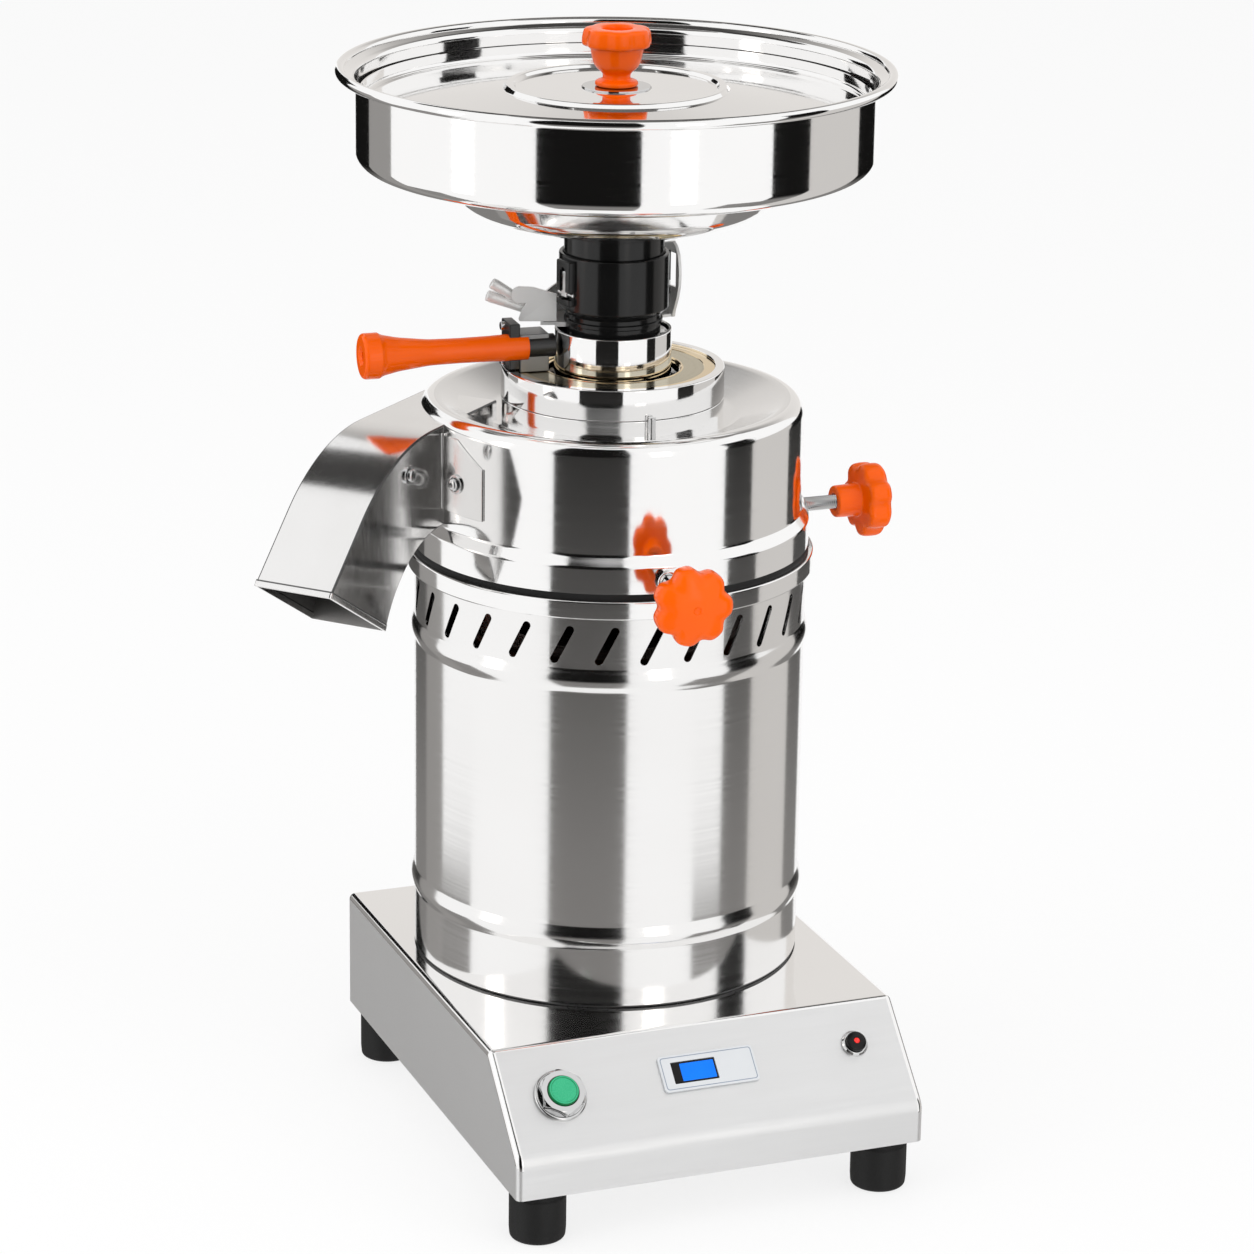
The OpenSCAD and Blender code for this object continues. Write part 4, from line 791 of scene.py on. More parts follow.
def chamber():
    sheet = 1.5
    dish_r = CHAMBER_R - 7.6
    line = rounded([(SKIRT_R, Z_CHAMBER), (SKIRT_R, Z_CHAMBER + 14.4, 2.5),
                    (CHAMBER_R, Z_CHAMBER + 19.7, 2.5), (CHAMBER_R, Z_CREST, 7), (dish_r, Z_CREST)], 8)
    piece = turned("chamber_wall", sheet_section(line, sheet))
    dish = rounded([(dish_r, Z_CREST), (CHAMBER_R - 10, Z_CREST, 12), (RING_R + 7.5, Z_DISH, 12),
                    (48, Z_DISH)], 8)
    top = turned("chamber_top", sheet_section(dish, sheet))
    dress(top, "frame", "polished_steel", look="dish_steel")
    outlet = slab("outlet", duct(97, CHUTE_SHEET, 30), CHUTE_W - 2 * CHUTE_SHEET,
                  side_on(CHUTE_AZ, CHUTE_RIGHT - CHUTE_SHEET))
    keep = rod("outlet_stop", CHAMBER_R - 8, Z_CHAMBER, Z_CREST + 5, steps=ROUND)
    holes = [rod("stud_hole", 4.1, SKIRT_R - 8, SKIRT_R + 8, outward_at(az, 0, Z_CLAMP), 48)
             for az in CLAMPS.values()]
    cut(outlet, keep)
    dress(cut(piece, outlet, *holes), "frame", "polished_steel", "chamber_housing", look="chamber_steel")
    ring = rounded([(4.1, -1.6), (6.3, -1.6), (6.5, -1.2), (6.5, BOSS_H, 0.7), (4.1, BOSS_H, 0.5)])
    bosses = copied(turned("clamp_bosses", ring, 48),
                    [outward_at(az, SKIRT_R, Z_CLAMP) for az in CLAMPS.values()])
    dress(bosses, "frame", "polished_steel", look="chamber_steel")


def chute():
    start = 30
    seat_r = CHAMBER_R + 0.1
    top, bottom = duct_lines(0, 0)
    mouth = Vector(top[-1]) - Vector(bottom[-1])
    mouth_normal = Vector((mouth.y, -mouth.x, 0)).normalized()
    piece = slab("chute_duct", duct(start, 0, 0), CHUTE_W)
    edit(piece)
    pick(piece, "FACE", lambda f: f.normal.x < -0.99 and f.calc_center_median().x < (start + 1) * MM
         or f.normal.dot(mouth_normal) > 0.999)
    bpy.ops.mesh.delete(type="FACE")
    pick(piece, "EDGE", lambda e: len(e.link_faces) == 2
         and any(abs(f.normal.z) > 0.9 for f in e.link_faces)
         and any(abs(f.normal.z) < 0.1 for f in e.link_faces))
    bpy.ops.mesh.bevel(offset=1.0 * MM, segments=3, affect="EDGES")
    leave_edit()
    modify(piece, "SOLIDIFY", thickness=CHUTE_SHEET * MM, offset=-1, use_even_offset=True)
    placed(piece, side_on(CHUTE_AZ, CHUTE_RIGHT))
    seat_line = [(0, Z_CHAMBER - 1), (SKIRT_R + 0.1, Z_CHAMBER - 1), (SKIRT_R + 0.1, Z_CHAMBER + 18.7),
                 (seat_r, Z_CHAMBER + 19.7), (seat_r, Z_CREST + 20), (0, Z_CREST + 20)]
    cut(piece, turned("chute_seat", seat_line))
    dress(piece, "frame", "polished_steel", "chute", look="chute_steel")
    forward = outward(CHUTE_AZ)
    aside = along(CHUTE_AZ)
    middle_u = CHUTE_RIGHT - CHUTE_W / 2
    middles = [(Vector(a) + Vector(b)) / 2 for a, b in zip(top[::2], bottom[::2])]
    middles += [Vector((start + 20 * step, (Z_DUCT_TOP + Z_DUCT_LOW) / 2)) for step in range(4)]
    middles.append((Vector(top[-1]) + Vector(bottom[-1])) / 2)

    def faces_inwards(face):
        place = face.center / MM
        flat = Vector((place.dot(forward), place.z))
        near = min(middles, key=lambda m: (m - flat).length)
        inward = forward * (near.x - flat.x) + UP * (near.y - flat.y) + aside * (middle_u - place.dot(aside))
        across = abs(face.normal.dot(aside))
        side_wall = abs(place.dot(aside) - middle_u) < CHUTE_W / 2 - 0.6
        return face.normal.dot(inward) > 0 and (across < 0.2 or side_wall)

    # Painted shade on the duct's inside faces
    face_finish(piece, "duct_inside", faces_inwards)
    # Painted dark lines on the bevelled folds, standing for their shade and dark reflections
    face_finish(piece, "painted_shade_line", lambda f: 0.2 < abs(f.normal.dot(aside)) < 0.98 and not faces_inwards(f))

    middle = middles[-1]
    across = forward * mouth.normalized().x + UP * mouth.normalized().y
    origin = forward * middle.x + UP * middle.y + aside * middle_u
    place = seat(across, aside, across.cross(aside), origin)
    proud = 0.3
    deep = 3
    hem = slab("chute_hem", rectangle(mouth.length + 2 * proud, CHUTE_W + 2 * proud, 1.4), deep,
               place @ moved(0, 0, -0.2))
    soften(hem, 0.4, 3)
    inner = rectangle(mouth.length - 2 * CHUTE_SHEET, CHUTE_W - 2 * CHUTE_SHEET, 0.6)
    cut(hem, slab("hem_inside", inner, 8, place @ moved(0, 0, -3)))
    dress(hem, "frame", "polished_steel", look="chute_steel")
    # A thin dark band behind the hem, painted shade standing for a groove that is not cut
    groove_shade = slab("chute_groove_shade", rectangle(mouth.length + proud, CHUTE_W + proud, 1.2), 0.7,
                place @ moved(0, 0, deep - 0.3))
    cut(groove_shade, slab("groove_shade_inside", inner, 8, place @ moved(0, 0, -1)))
    dress(groove_shade, "frame", "polished_steel", look="painted_shade_line")

    tab_t = 1.2
    tab_start = -82
    tab_end = -61.3
    tab_low = Z_DUCT_LOW + 9.5
    tab_high = Z_DUCT_TOP - 5
    section = [(seat_r, tab_low), (seat_r + tab_t, tab_low), (seat_r + tab_t, tab_high), (seat_r, tab_high)]
    tab = partly_turned("chute_tab", section, tab_start, tab_end, 24)
    edit(tab)
    corner = outward(tab_end) * seat_r + UP * (Z_DUCT_TOP - 17.5)
    slant = (along(-66) * 0.62 + UP).normalized()
    bpy.ops.mesh.select_all(action="SELECT")
    bpy.ops.mesh.bisect(plane_co=corner * MM, plane_no=slant, clear_outer=True, use_fill=True)
    weld()
    leave_edit()
    soften(tab, 0.25, 2)
    fold_f = math.sqrt(seat_r ** 2 - CHUTE_RIGHT ** 2)
    fold_place = forward * (fold_f + 0.6) + aside * (CHUTE_RIGHT + 0.2)
    fold = rounded([(0, tab_low), (1.3, tab_low, 0.5), (1.3, tab_high + 1, 0.5), (0, tab_high + 1)])
    bend = turned("tab_bend", fold, 32, moved(fold_place.x, fold_place.y, 0))
    dress(joined("chute_tab", tab, bend), "frame", "polished_steel", look="chute_steel")

    head = rounded([(0, 0), (5.4, 0), (5.4, 1.2, 0.4), (4.1, 1.2, 0.2), (3.9, 0.4), (3.5, 0.4),
                    (3.5, 3.3, 1.2), (0, 3.8)])
    screw = turned("chute_fixings", head, 48)
    cut(screw, rod("hexagon", 1.5, 1.8, 5, steps=6))
    on_wall = seat(-forward, UP, aside, forward * 128.7 + aside * CHUTE_RIGHT + UP * (Z_CHAMBER + 58.9))
    screws = copied(screw, [outward_at(-72.2, seat_r + tab_t, Z_CHAMBER + 47.5), on_wall])
    dress(screws, "frame", "bright_steel", "chute_screws", look="chrome_trim")


# Adjuster

def adjuster():
    ring = rounded([(45.06, Z_DISH), (RING_R, Z_DISH), (RING_R, Z_CAP - 0.3, 0.5), (56, Z_CAP - 0.3),
                    (56, high("thread_ring").z, 0.5), (45.06, high("thread_ring").z)])
    dress(turned("fixed_ring", ring), "frame", "polished_steel", "thread_ring")
    pin_h = high("index_pin").z - Z_DISH
    pin = rounded([(0, 0), (2.2, 0), (2.2, pin_h, 0.8), (0, pin_h)])
    dress(turned("ring_pin", pin, 40, facing(-1.6) @ moved(0, -RING_R - 2.5, Z_DISH)), "frame",
          "bright_steel", "index_pin")
    cap = rounded([(56.06, Z_CAP), (RING_R, Z_CAP, 0.4), (RING_R, Z_CAP_TOP, 0.9), (56, Z_CAP_TOP, 0.4),
                   (56, Z_DIAL), (36.2, Z_DIAL), (36.2, Z_DIAL - 3.5), (56.06, Z_DIAL - 3.5)])
    dress(turned("gap_cap", cap), "adjuster", "polished_steel", "adjuster_cap")
    top = high("dial_plate").z
    olive_in = 38.6
    olive_out = 49.8
    dial = rounded([(37, Z_DIAL), (DIAL_R, Z_DIAL), (DIAL_R, top, 0.3), (olive_out + 0.3, top),
                    (olive_out, top - 0.25), (olive_in, top - 0.25), (olive_in - 0.3, top), (37.6, top),
                    (37, top - 0.6)])
    plate = turned("gap_dial", dial)
    dress(plate, "adjuster", "gold_dial", "dial_plate")
    face_finish(plate, "olive_ring",
                lambda f: olive_in < f.center.to_2d().length / MM < olive_out and f.normal.z > 0.9)
    foot_z = Z_CAP + 2.7
    tail_z = Z_COLLAR - 8
    collar = rounded([(21, foot_z), (40, foot_z), (40, foot_z + 3, 0.5), (COLLAR_R, foot_z + 3),
                      (COLLAR_R, Z_COLLAR, 0.6), (30.5, Z_COLLAR, 0.5), (29.6, Z_COLLAR - 2.4),
                      (24.6, Z_COLLAR - 2.4), (24.6, tail_z), (21, tail_z)])
    dress(turned("grain_collar", collar), "feed", "polished_steel", "feed_collar")


def gap_lever():
    front = 4
    back = -13
    inner = 37.2
    outer = 53.5
    saddle_out = 59.5
    saddle_z0 = Z_CAP_TOP + 0.4
    saddle_z1 = Z_LEVER + 13.5
    body = block("lever_block", (back, -outer, high("dial_plate").z), (front, -inner, Z_LEVER + 7.5))
    saddle = block("lever_saddle", (back, -saddle_out, saddle_z0), (front, -outer, saddle_z1))
    for piece, look in ((body, "cast_alloy"), (saddle, "black_plastic")):
        soften(piece, 0.7)
        placed(piece, facing(LEVER_AZ))
        bore = rod("lever_bore", 6.42, inner - 1, saddle_out + 3, outward_at(LEVER_AZ, 0, Z_LEVER))
        room = rod("grip_room", 7.45, GRIP_START - 0.15, saddle_out + 3, outward_at(LEVER_AZ, 0, Z_LEVER))
        cut(piece, bore, room)
        dress(piece, "adjuster", look, *(["lever_clamp"] if piece is body else []))
    head = rounded([(0, 0), (2.4, 0), (2.4, 2.4, 0.5), (0, 2.4)])
    bolt = turned("saddle_bolts", head, 40)
    cut(bolt, rod("bolt_socket", 1.3, 1.1, 4, steps=6))
    bolt_places = []
    for z in (saddle_z1 - 2.9, saddle_z0 + 2.9):
        bolt_places.append(outward_at(LEVER_AZ, saddle_out, z) @ moved(back / 2, 0, 0))
    bolts = copied(bolt, bolt_places)
    dress(bolts, "adjuster", "zinc_steel", "lever_bolts")
    place = outward_at(LEVER_AZ, 0, Z_LEVER)
    tube = rounded([(0, 33.5), (6.4, 33.5, 0.6), (6.4, 62.6), (4.8, 62.6), (4.8, 130), (0, 130)])
    dress(turned("lever_shaft", tube, SMALL_ROUND, place), "adjuster", "black_plastic", "lever_tube")
    reach = 92.2
    grip = rounded([(6.42, 0), (7.3, 0, 0.4), (7.3, 12.5, 2), (7.0, 22, 30), (6.8, 38, 40), (7.1, 55, 60),
                    (9.2, 72, 40), (11.2, 81, 10), (12.5, 83, 1.2), (12.5, reach, 2.2), (5.4, reach, 0.8),
                    (3.8, reach - 1.6), (3.8, 81.4), (4.82, 81.4), (4.82, 14.2), (6.42, 14.2)], 8)
    dress(turned("lever_handle", grip, SMALL_ROUND, place @ moved(0, 0, GRIP_START)), "adjuster",
          "orange_plastic", "lever_grip")


# Coupler and lock

def cam_facing(side):
    return CAM_AZ + (180 if side > 0 else 0)


def coupler():
    body_z = Z_COUPLER - 29.7
    socket_z = Z_SPIGOT - 0.3
    outline = rounded([(THROAT_R, Z_TAIL), (24.5, Z_TAIL, 0.4), (24.5, Z_COLLAR - 2.4),
                       (25.7, Z_COLLAR - 2.4), (25.7, Z_COLLAR + 3.4), (26.8, Z_COLLAR + 4, 0.3),
                       (26.8, Z_COLLAR + 5.8, 0.3), (25.7, Z_COLLAR + 6.4), (25.7, body_z - 4, 0.5),
                       (COUPLER_R, body_z, 1), (COUPLER_R, Z_COUPLER, 1), (28.3, Z_COUPLER, 0.3),
                       (27.6, Z_COUPLER - 0.7), (27.6, socket_z), (THROAT_R, socket_z)])
    piece = turned("coupler_ring", outline, 128)
    pad_low = body_z + 3
    pad_top = Z_COUPLER - 2
    slot_low = Z_CAM_PIN - 3.2
    slot_h = 18
    for side in (-1, 1):
        az = cam_facing(side)
        pad = block("coupler_pad", (-6.5, -33, pad_low), (6.5, -28.2, pad_top))
        soften(pad, 0.8)
        combine(piece, "UNION", placed(pad, facing(az)))
        slot = slab("cam_slot", stadium(5.6, slot_h), 12, outward_at(az, 24, slot_low + slot_h / 2))
        hole = rod("cam_hole", 1.02, -13, 13, crosswise_at(az, CAM_PIN_AT, Z_CAM_PIN), 24)
        groove = block("pin_groove", (-7.4, -36, Z_CAM_PIN - 2.6), (7.4, -CAM_PIN_AT + 0.6, Z_CAM_PIN + 1.5),
                       facing(az))
        cut(piece, slot, hole, groove)
    dress(piece, "feed", "black_plastic", "coupler_body", look="gloss_black")
    arm_top = Z_CAM_PIN + 13
    profile = arc((CAM_PIN_AT, Z_CAM_PIN), 2.2, 180, 320, 10)
    profile += rounded([profile[-1], (32, Z_CAM_PIN + 1.5), (32, arm_top, 1.3), (28.4, arm_top, 1.3),
                        (28.4, Z_CAM_PIN)])[1:-1]
    pins = []
    for side, body in ((-1, "left_cam"), (1, "right_cam")):
        az = cam_facing(side)
        arm = slab(body + "_tongue", profile, 5, side_on(az, 2.5))
        hole = rod("arm_hole", 1.06, -5, 5, crosswise_at(az, CAM_PIN_AT, Z_CAM_PIN), 24)
        cut(arm, hole)
        soften(arm, 0.3, 2)
        dress(arm, body, "bright_steel", body + "_arm")
        ends = rounded([(0, -7.1), (1, -7.1, 0.25), (1, 7.1, 0.25), (0, 7.1)])
        pins.append(turned("cross_pin", ends, 24, crosswise_at(az, CAM_PIN_AT, Z_CAM_PIN)))
    dress(joined("cross_pins", *pins), "feed", "chrome_trim", "cam_pins")


def lock():
    start = 90
    end = 360 + EAR_AZ
    band_h = 46
    band = partly_turned("lock_band", [(BRACKET_R, Z_BRACKET), (BRACKET_R + BRACKET_SHEET, Z_BRACKET),
                                       (BRACKET_R + BRACKET_SHEET, Z_BRACKET + band_h),
                                       (BRACKET_R, Z_BRACKET + band_h)], start, end, 98)
    rise = math.radians(21)
    tilt_az = -21
    normal = (UP * math.cos(rise) - along(tilt_az) * math.sin(rise)).normalized()
    edge_point = along(tilt_az) * -BRACKET_R + UP * (Z_BRACKET + 15)
    edit(band)
    bpy.ops.mesh.select_all(action="SELECT")
    bpy.ops.mesh.bisect(plane_co=edge_point * MM, plane_no=normal, clear_outer=True, use_fill=True)
    weld()
    leave_edit()
    foot = partly_turned("lock_foot", [(25.85, Z_BRACKET), (BRACKET_R + 0.8, Z_BRACKET),
                                       (BRACKET_R + 0.8, Z_BRACKET + 1.6), (25.85, Z_BRACKET + 1.6)],
                         start + 12, end, 90)
    hub = partly_turned("lock_hub", [(25.85, Z_COLLAR), (31.5, Z_COLLAR), (31.5, Z_BRACKET + 0.8),
                                     (25.85, Z_BRACKET + 0.8)], start + 12, end, 90)
    combine(band, "UNION", foot, hub)
    window = block("cam_window", (-3.7, -44, Z_CAM_PIN - 4), (3.7, -34, Z_CAM_PIN + 15),
                   facing(cam_facing(1)))
    edge = [(-4, Z_BRACKET - 2), (7.6, Z_BRACKET - 2), (6.2, Z_BRACKET + 4), (2.6, Z_BRACKET + 12),
            (0.4, Z_BRACKET + 19), (0, Z_BRACKET + 24), (0.6, Z_BRACKET + 30), (2.2, Z_BRACKET + 35.5),
            (5.2, Z_BRACKET + 40), (9.5, Z_BRACKET + 43), (16, Z_BRACKET + 44.5), (16, Z_BRACKET + 60),
            (-4, Z_BRACKET + 60)]
    cut(band, window, slab("edge_round", edge, 16, outward_at(start, 28, 0)))
    ear_z = high("lever_clamp").z - 2.1
    inner = BRACKET_R - 7
    knuckle = (LOCK_PIN_AT, Z_LOCK_PIN)
    outline = rounded([(inner, ear_z), (52, ear_z, 1.2), (49.6, ear_z + 7, 12), (47.6, Z_LOCK_PIN - 4.6)])
    outline += arc(knuckle, 4.6, 240, 440, 14)[1:]
    outline += rounded([outline[-1], (44, Z_LOCK_PIN + 4.2, 6), (inner, Z_LOCK_PIN + 0.4)])[1:]
    combine(band, "UNION", slab("lock_ear", outline, 1.6, side_on(EAR_AZ, 0.8)))
    soften(band, 0.3, 2, 50)
    pin = rod("lock_pin", 2, -6.6, 0.4, crosswise_at(EAR_AZ, LOCK_PIN_AT, Z_LOCK_PIN), 40)
    dress(joined("lock_plate", band, pin), "feed", "polished_steel", "lock_bracket", look="bracket_steel")
    eye_t = 4
    across = Matrix.Rotation(math.pi / 2, 4, "Y")
    back = outward_at(EAR_AZ, LOCK_PIN_AT, Z_LOCK_PIN) @ moved(-5.1, 0, 0)
    web = slab("lock_web", [(y, -x) for x, y in stadium(9, 16)], eye_t, back @ moved(-1.4, -3.5, 0) @ across)
    soften(web, 0.6, 2)
    cut(web, rod("eye_hole", 2.06, -2, eye_t + 2, back @ across, 40))
    pieces = [web]
    prong = rounded([(0, 0), (2.5, 0), (2.7, 8, 20), (3.2, 18.4, 6), (3, 21, 0.9), (0, 21.6)])
    for lift, drop, in_by in ((31, 5.2, 3), (20, 8.6, 2.2)):
        tilt = Matrix.Rotation(math.radians(-lift), 4, "X")
        place = outward_at(EAR_AZ, LOCK_PIN_AT - in_by, Z_LOCK_PIN - drop)
        place = place @ moved(-2.9 - 0.2 * drop, 0, 0)
        pieces.append(turned("lock_prong", prong, 40, place @ tilt))
    dress(joined("lock_handle", *pieces), "lock", "bright_steel", "lock_lever", look="bracket_steel")


# Hopper

def hopper():
    sheet = 1
    line = rounded([(27.4, Z_HOPPER), (79, Z_HOPPER, 26), (99, Z_SHELF - 1, 3), (HOPPER_R, Z_SHELF, 8),
                    (HOPPER_R, Z_RIM - 3, 3), (RIM_R, Z_RIM)], 10)
    inside = beside(line, sheet)[::-1]
    flare = (Vector(line[-1]) - Vector(line[-2])).normalized()
    line[-1] = tuple(Vector((RIM_R, Z_RIM)) - flare * RIM_ROLL_R)
    reach = math.sqrt(RIM_ROLL_R ** 2 - sheet ** 2)
    inside[0] = tuple(Vector((RIM_R, Z_RIM)) - flare * reach + Vector((-flare.y, flare.x)) * sheet)
    first = math.degrees(math.atan2(-flare.y, -flare.x))
    last = math.degrees(math.atan2(inside[0][1] - Z_RIM, inside[0][0] - RIM_R))
    roll = arc((RIM_R, Z_RIM), RIM_ROLL_R, first, first + (last - first) % 360, 28)[1:-1]
    ledge_z = Z_LID - 1.3
    wall_in = HOPPER_R - sheet
    ledge = [(wall_in, ledge_z), (wall_in - 6, ledge_z), (wall_in - 6, ledge_z - 1.5),
             (wall_in, ledge_z - 1.5)]
    above = [p for p in inside if p[1] > ledge_z + 0.1]
    below = [p for p in inside if p[1] < ledge_z - 1.6]
    piece = turned("hopper_shell", line + roll + above + ledge + below, 192)
    dress(piece, "hopper", "polished_steel", "hopper_bowl")
    # Painted shade on the ledge's top, in the gap between the lid and the wall
    face_finish(piece, "duct_inside", lambda f: f.normal.z > 0.9 and abs(f.center.z / MM - ledge_z) < 0.2)
    seat_z = Z_SPIGOT_TOP - 3
    ring_z = Z_HOPPER - 10.5
    spigot = rounded([(THROAT_R, Z_SPIGOT), (SPIGOT_R, Z_SPIGOT, 0.8), (SPIGOT_R, ring_z),
                      (SPIGOT_R + 1.2, ring_z, 0.4), (SPIGOT_R + 1.2, ring_z + 7, 0.4),
                      (SPIGOT_R, ring_z + 7), (SPIGOT_R, seat_z), (36.3, seat_z), (36.3, Z_SPIGOT_TOP, 0.8),
                      (THROAT_R, Z_SPIGOT_TOP, 0.8)])
    dress(turned("hopper_tail", spigot, 128), "hopper", "black_plastic", "hopper_spigot", look="gloss_black")


def hopper_cover():
    lid_r = HOPPER_R - 3.6
    line = rounded([(2.6, Z_LID_MID), (53.7, Z_LID_MID, 1), (55.45, Z_LID_MID + 2, 1),
                    (58.95, Z_LID_MID + 2, 1), (60.7, Z_LID_MID - 0.4, 1), (lid_r, Z_LID, 2.5),
                    (lid_r, Z_LID + 7)])
    lid = turned("cover", sheet_section(line, -1), 192)
    dress(lid, "lid", "polished_steel", "hopper_lid")
    # Painted shade on the lid's edge, facing the gap to the hopper wall
    face_finish(lid, "duct_inside", lambda f: f.normal.to_2d().dot(f.center.to_2d()) > 0.7 * lid_r * MM
                and f.center.to_2d().length > (lid_r - 0.5) * MM)
    washer = [(0, Z_LID_MID - 4), (5, Z_LID_MID - 4), (5, Z_LID_MID - 1), (2.5, Z_LID_MID - 1),
              (2.5, Z_LID_MID), (18.5, Z_LID_MID), (18.7, Z_LID_MID + 0.3), (18.4, Z_LID_MID + WASHER_T),
              (2.5, Z_LID_MID + WASHER_T), (2.5, Z_LID_MID + 11), (0, Z_LID_MID + 11)]
    dress(turned("cover_washer", washer, SMALL_ROUND), "lid", "chrome_trim", "lid_washer")


LOBES = 7


# Presses scallops into a turned head between its lobes, where the test on radius and height holds
def scallop(piece, share, test):
    edit(piece)
    step = 2 * math.pi / (4 * LOBES)

    def between_lobes(vert):
        place = vert.co / MM
        turn = round(math.atan2(place.y, place.x) / step) % 4
        return turn == 2 and test(math.hypot(place.x, place.y), place.z)

    pick(piece, "VERT", between_lobes)
    bpy.ops.transform.resize(value=(share, share, 1), center_override=(0, 0, 0))
    leave_edit()


def cover_knob():
    rings = [(0, 12), (2.4, 12), (2.6, 11.6), (2.6, 0.5), (3.2, 0), (10.8, 0), (11.6, 0.5), (11.8, 1.5),
             (11.5, 2.6), (10.2, 3.2), (7.9, 3.6), (7.5, 4.4), (7.5, 6.2), (8.4, 7.6), (11.2, 9.6),
             (12.8, 12.4), (13.7, 16), (14.5, 20.4), (15.0, 21.1), (17.8, 21.4), (18.9, 22.1), (19.2, 23.8),
             (18.5, 28.9), (17.7, 30.5), (15.8, 31.3), (9.8, 31.3), (8.5, 31), (8.0, 30.1), (7.8, 26.2),
             (7.2, 25.7), (0, 25.6)]
    piece = turned("cover_grip", rings, 4 * LOBES)
    scallop(piece, 0.87, lambda r, z: r > 15.1 and z > 21.2)
    modify(piece, "SUBSURF", levels=2, render_levels=2)
    placed(piece, moved(0, 0, low("lid_knob").z))
    dress(piece, "lid", "orange_plastic", "lid_knob", angle=KNOB_ANGLE)


def clamp_screws():
    pitch = 1.25
    stud_r = 4
    stud_in = low("rear_stud").y
    length = high("rear_stud").y - stud_in
    turns = int((length - 4) / pitch)
    profile = [(stud_r - 0.7, 0, 1.2)]
    for turn in range(turns):
        z = 1.2 + turn * pitch
        profile += [(stud_r, 0, z + pitch * 0.5), (stud_r - 0.7, 0, z + pitch)]
    stud = drawn("stud", profile)
    leave_edit()
    modify(stud, "SCREW", angle=2 * math.pi, screw_offset=pitch * MM, iterations=1, steps=32,
           render_steps=32, axis="Z", use_merge_vertices=True, merge_threshold=WELD,
           use_normal_calculate=True)
    edit(stud)
    weld()
    bpy.ops.mesh.select_mode(type="EDGE")
    bpy.ops.mesh.select_all(action="SELECT")
    bpy.ops.mesh.fill_holes(sides=0)
    weld()
    leave_edit()
    rings = [(0, 21.8), (3.9, 21.8), (4.2, 21.5), (4.2, 0.4), (4.7, 0), (8.3, 0), (9.0, 0.5), (9.2, 2),
             (9.4, 13.2), (9.9, 13.9), (12, 14.2), (18.6, 14.4), (20.4, 14.9), (21.5, 16.8), (21.6, 24),
             (20.6, 26.6), (17.8, 28.6), (12, 30.2), (6, 30.9), (2.6, 31), (2.2, 30.9), (1.9, 30.3),
             (0, 30.2)]
    head = turned("star", rings, 4 * LOBES)
    scallop(head, 0.80, lambda r, z: r > 17.5 and z > 14)
    scallop(head, 0.94, lambda r, z: 11 < r < 17 and z > 14 and z < 20)
    modify(head, "SUBSURF", levels=2, render_levels=2)
    for side, az in CLAMPS.items():
        for source, name, start, body, slot in ((stud, "_screw_thread", stud_in, "_screw", "zinc_steel"),
                                                (head, "_star_head", KNOB_AT, "_star", "orange_plastic")):
            copy = source.copy()
            copy.data = source.data.copy()
            copy.name = side + name
            copy.data.name = side + name
            bpy.context.collection.objects.link(copy)
            placed(copy, outward_at(az, start, Z_CLAMP))
            node = side + ("_stud" if source is stud else "_knob")
            dress(copy, side + body, slot, node, look="chrome_trim" if source is stud else None,
                  angle=KNOB_ANGLE if source is head else SMOOTH_ANGLE)
    bpy.data.objects.remove(stud)
    bpy.data.objects.remove(head)


folded_base()
round_feet()
push_button()
display()
indicator()
motor_drum()
motor_flange_piece()
chamber()
chute()
adjuster()
gap_lever()
coupler()
lock()
hopper()
hopper_cover()
cover_knob()
clamp_screws()

# Carried-over nodes take the finish of their slot
for part in frame["record"]["subparts"]:
    node = frame["nodes"][part["node"]]
    node.data.materials.clear()
    node.data.materials.append(LOOKS[part["material_slot"]])


# Studio

def flat_stage(name, corners):
    piece = drawn(name, [tuple(Vector(c) / MM) for c in corners] + [tuple(Vector(corners[0]) / MM)])
    bpy.ops.mesh.select_all(action="SELECT")
    bpy.ops.mesh.remove_doubles(threshold=WELD)
    bpy.ops.mesh.edge_face_add()
    leave_edit()
    return piece


CAMERA_AZ = -21.366
CAMERA_EL = 17.913
FLOOR_WHITE = 0.76
ROOM_LIGHT = 0.8

floor = flat_stage("floor", [(-20, -20, 0), (20, -20, 0), (20, 20, 0), (-20, 20, 0)])
floor_paint = finish("floor_paint", PLAIN_MARKS, grey(0.93), grey(0.95), 0.8, 0.9, 0.0, fine=3, broad=1)
floor.data.materials.append(floor_paint)
floor.visible_glossy = False
paint = floor_paint.node_tree.nodes
paint_links = floor_paint.node_tree.links
paint_ray = paint.new("ShaderNodeLightPath")
paint_share = paint.new("ShaderNodeMath")
paint_share.operation = "MULTIPLY"
paint_share.inputs[1].default_value = FLOOR_WHITE
paint_links.new(paint_ray.outputs["Is Camera Ray"], paint_share.inputs[0])
paint_white = paint.new("ShaderNodeEmission")
paint_blend = paint.new("ShaderNodeMixShader")
paint_links.new(paint_share.outputs[0], paint_blend.inputs[0])
paint_links.new(paint["Principled BSDF"].outputs[0], paint_blend.inputs[1])
paint_links.new(paint_white.outputs[0], paint_blend.inputs[2])
paint_links.new(paint_blend.outputs[0], paint["Material Output"].inputs[0])
floor_paint.cycles.emission_sampling = "NONE"


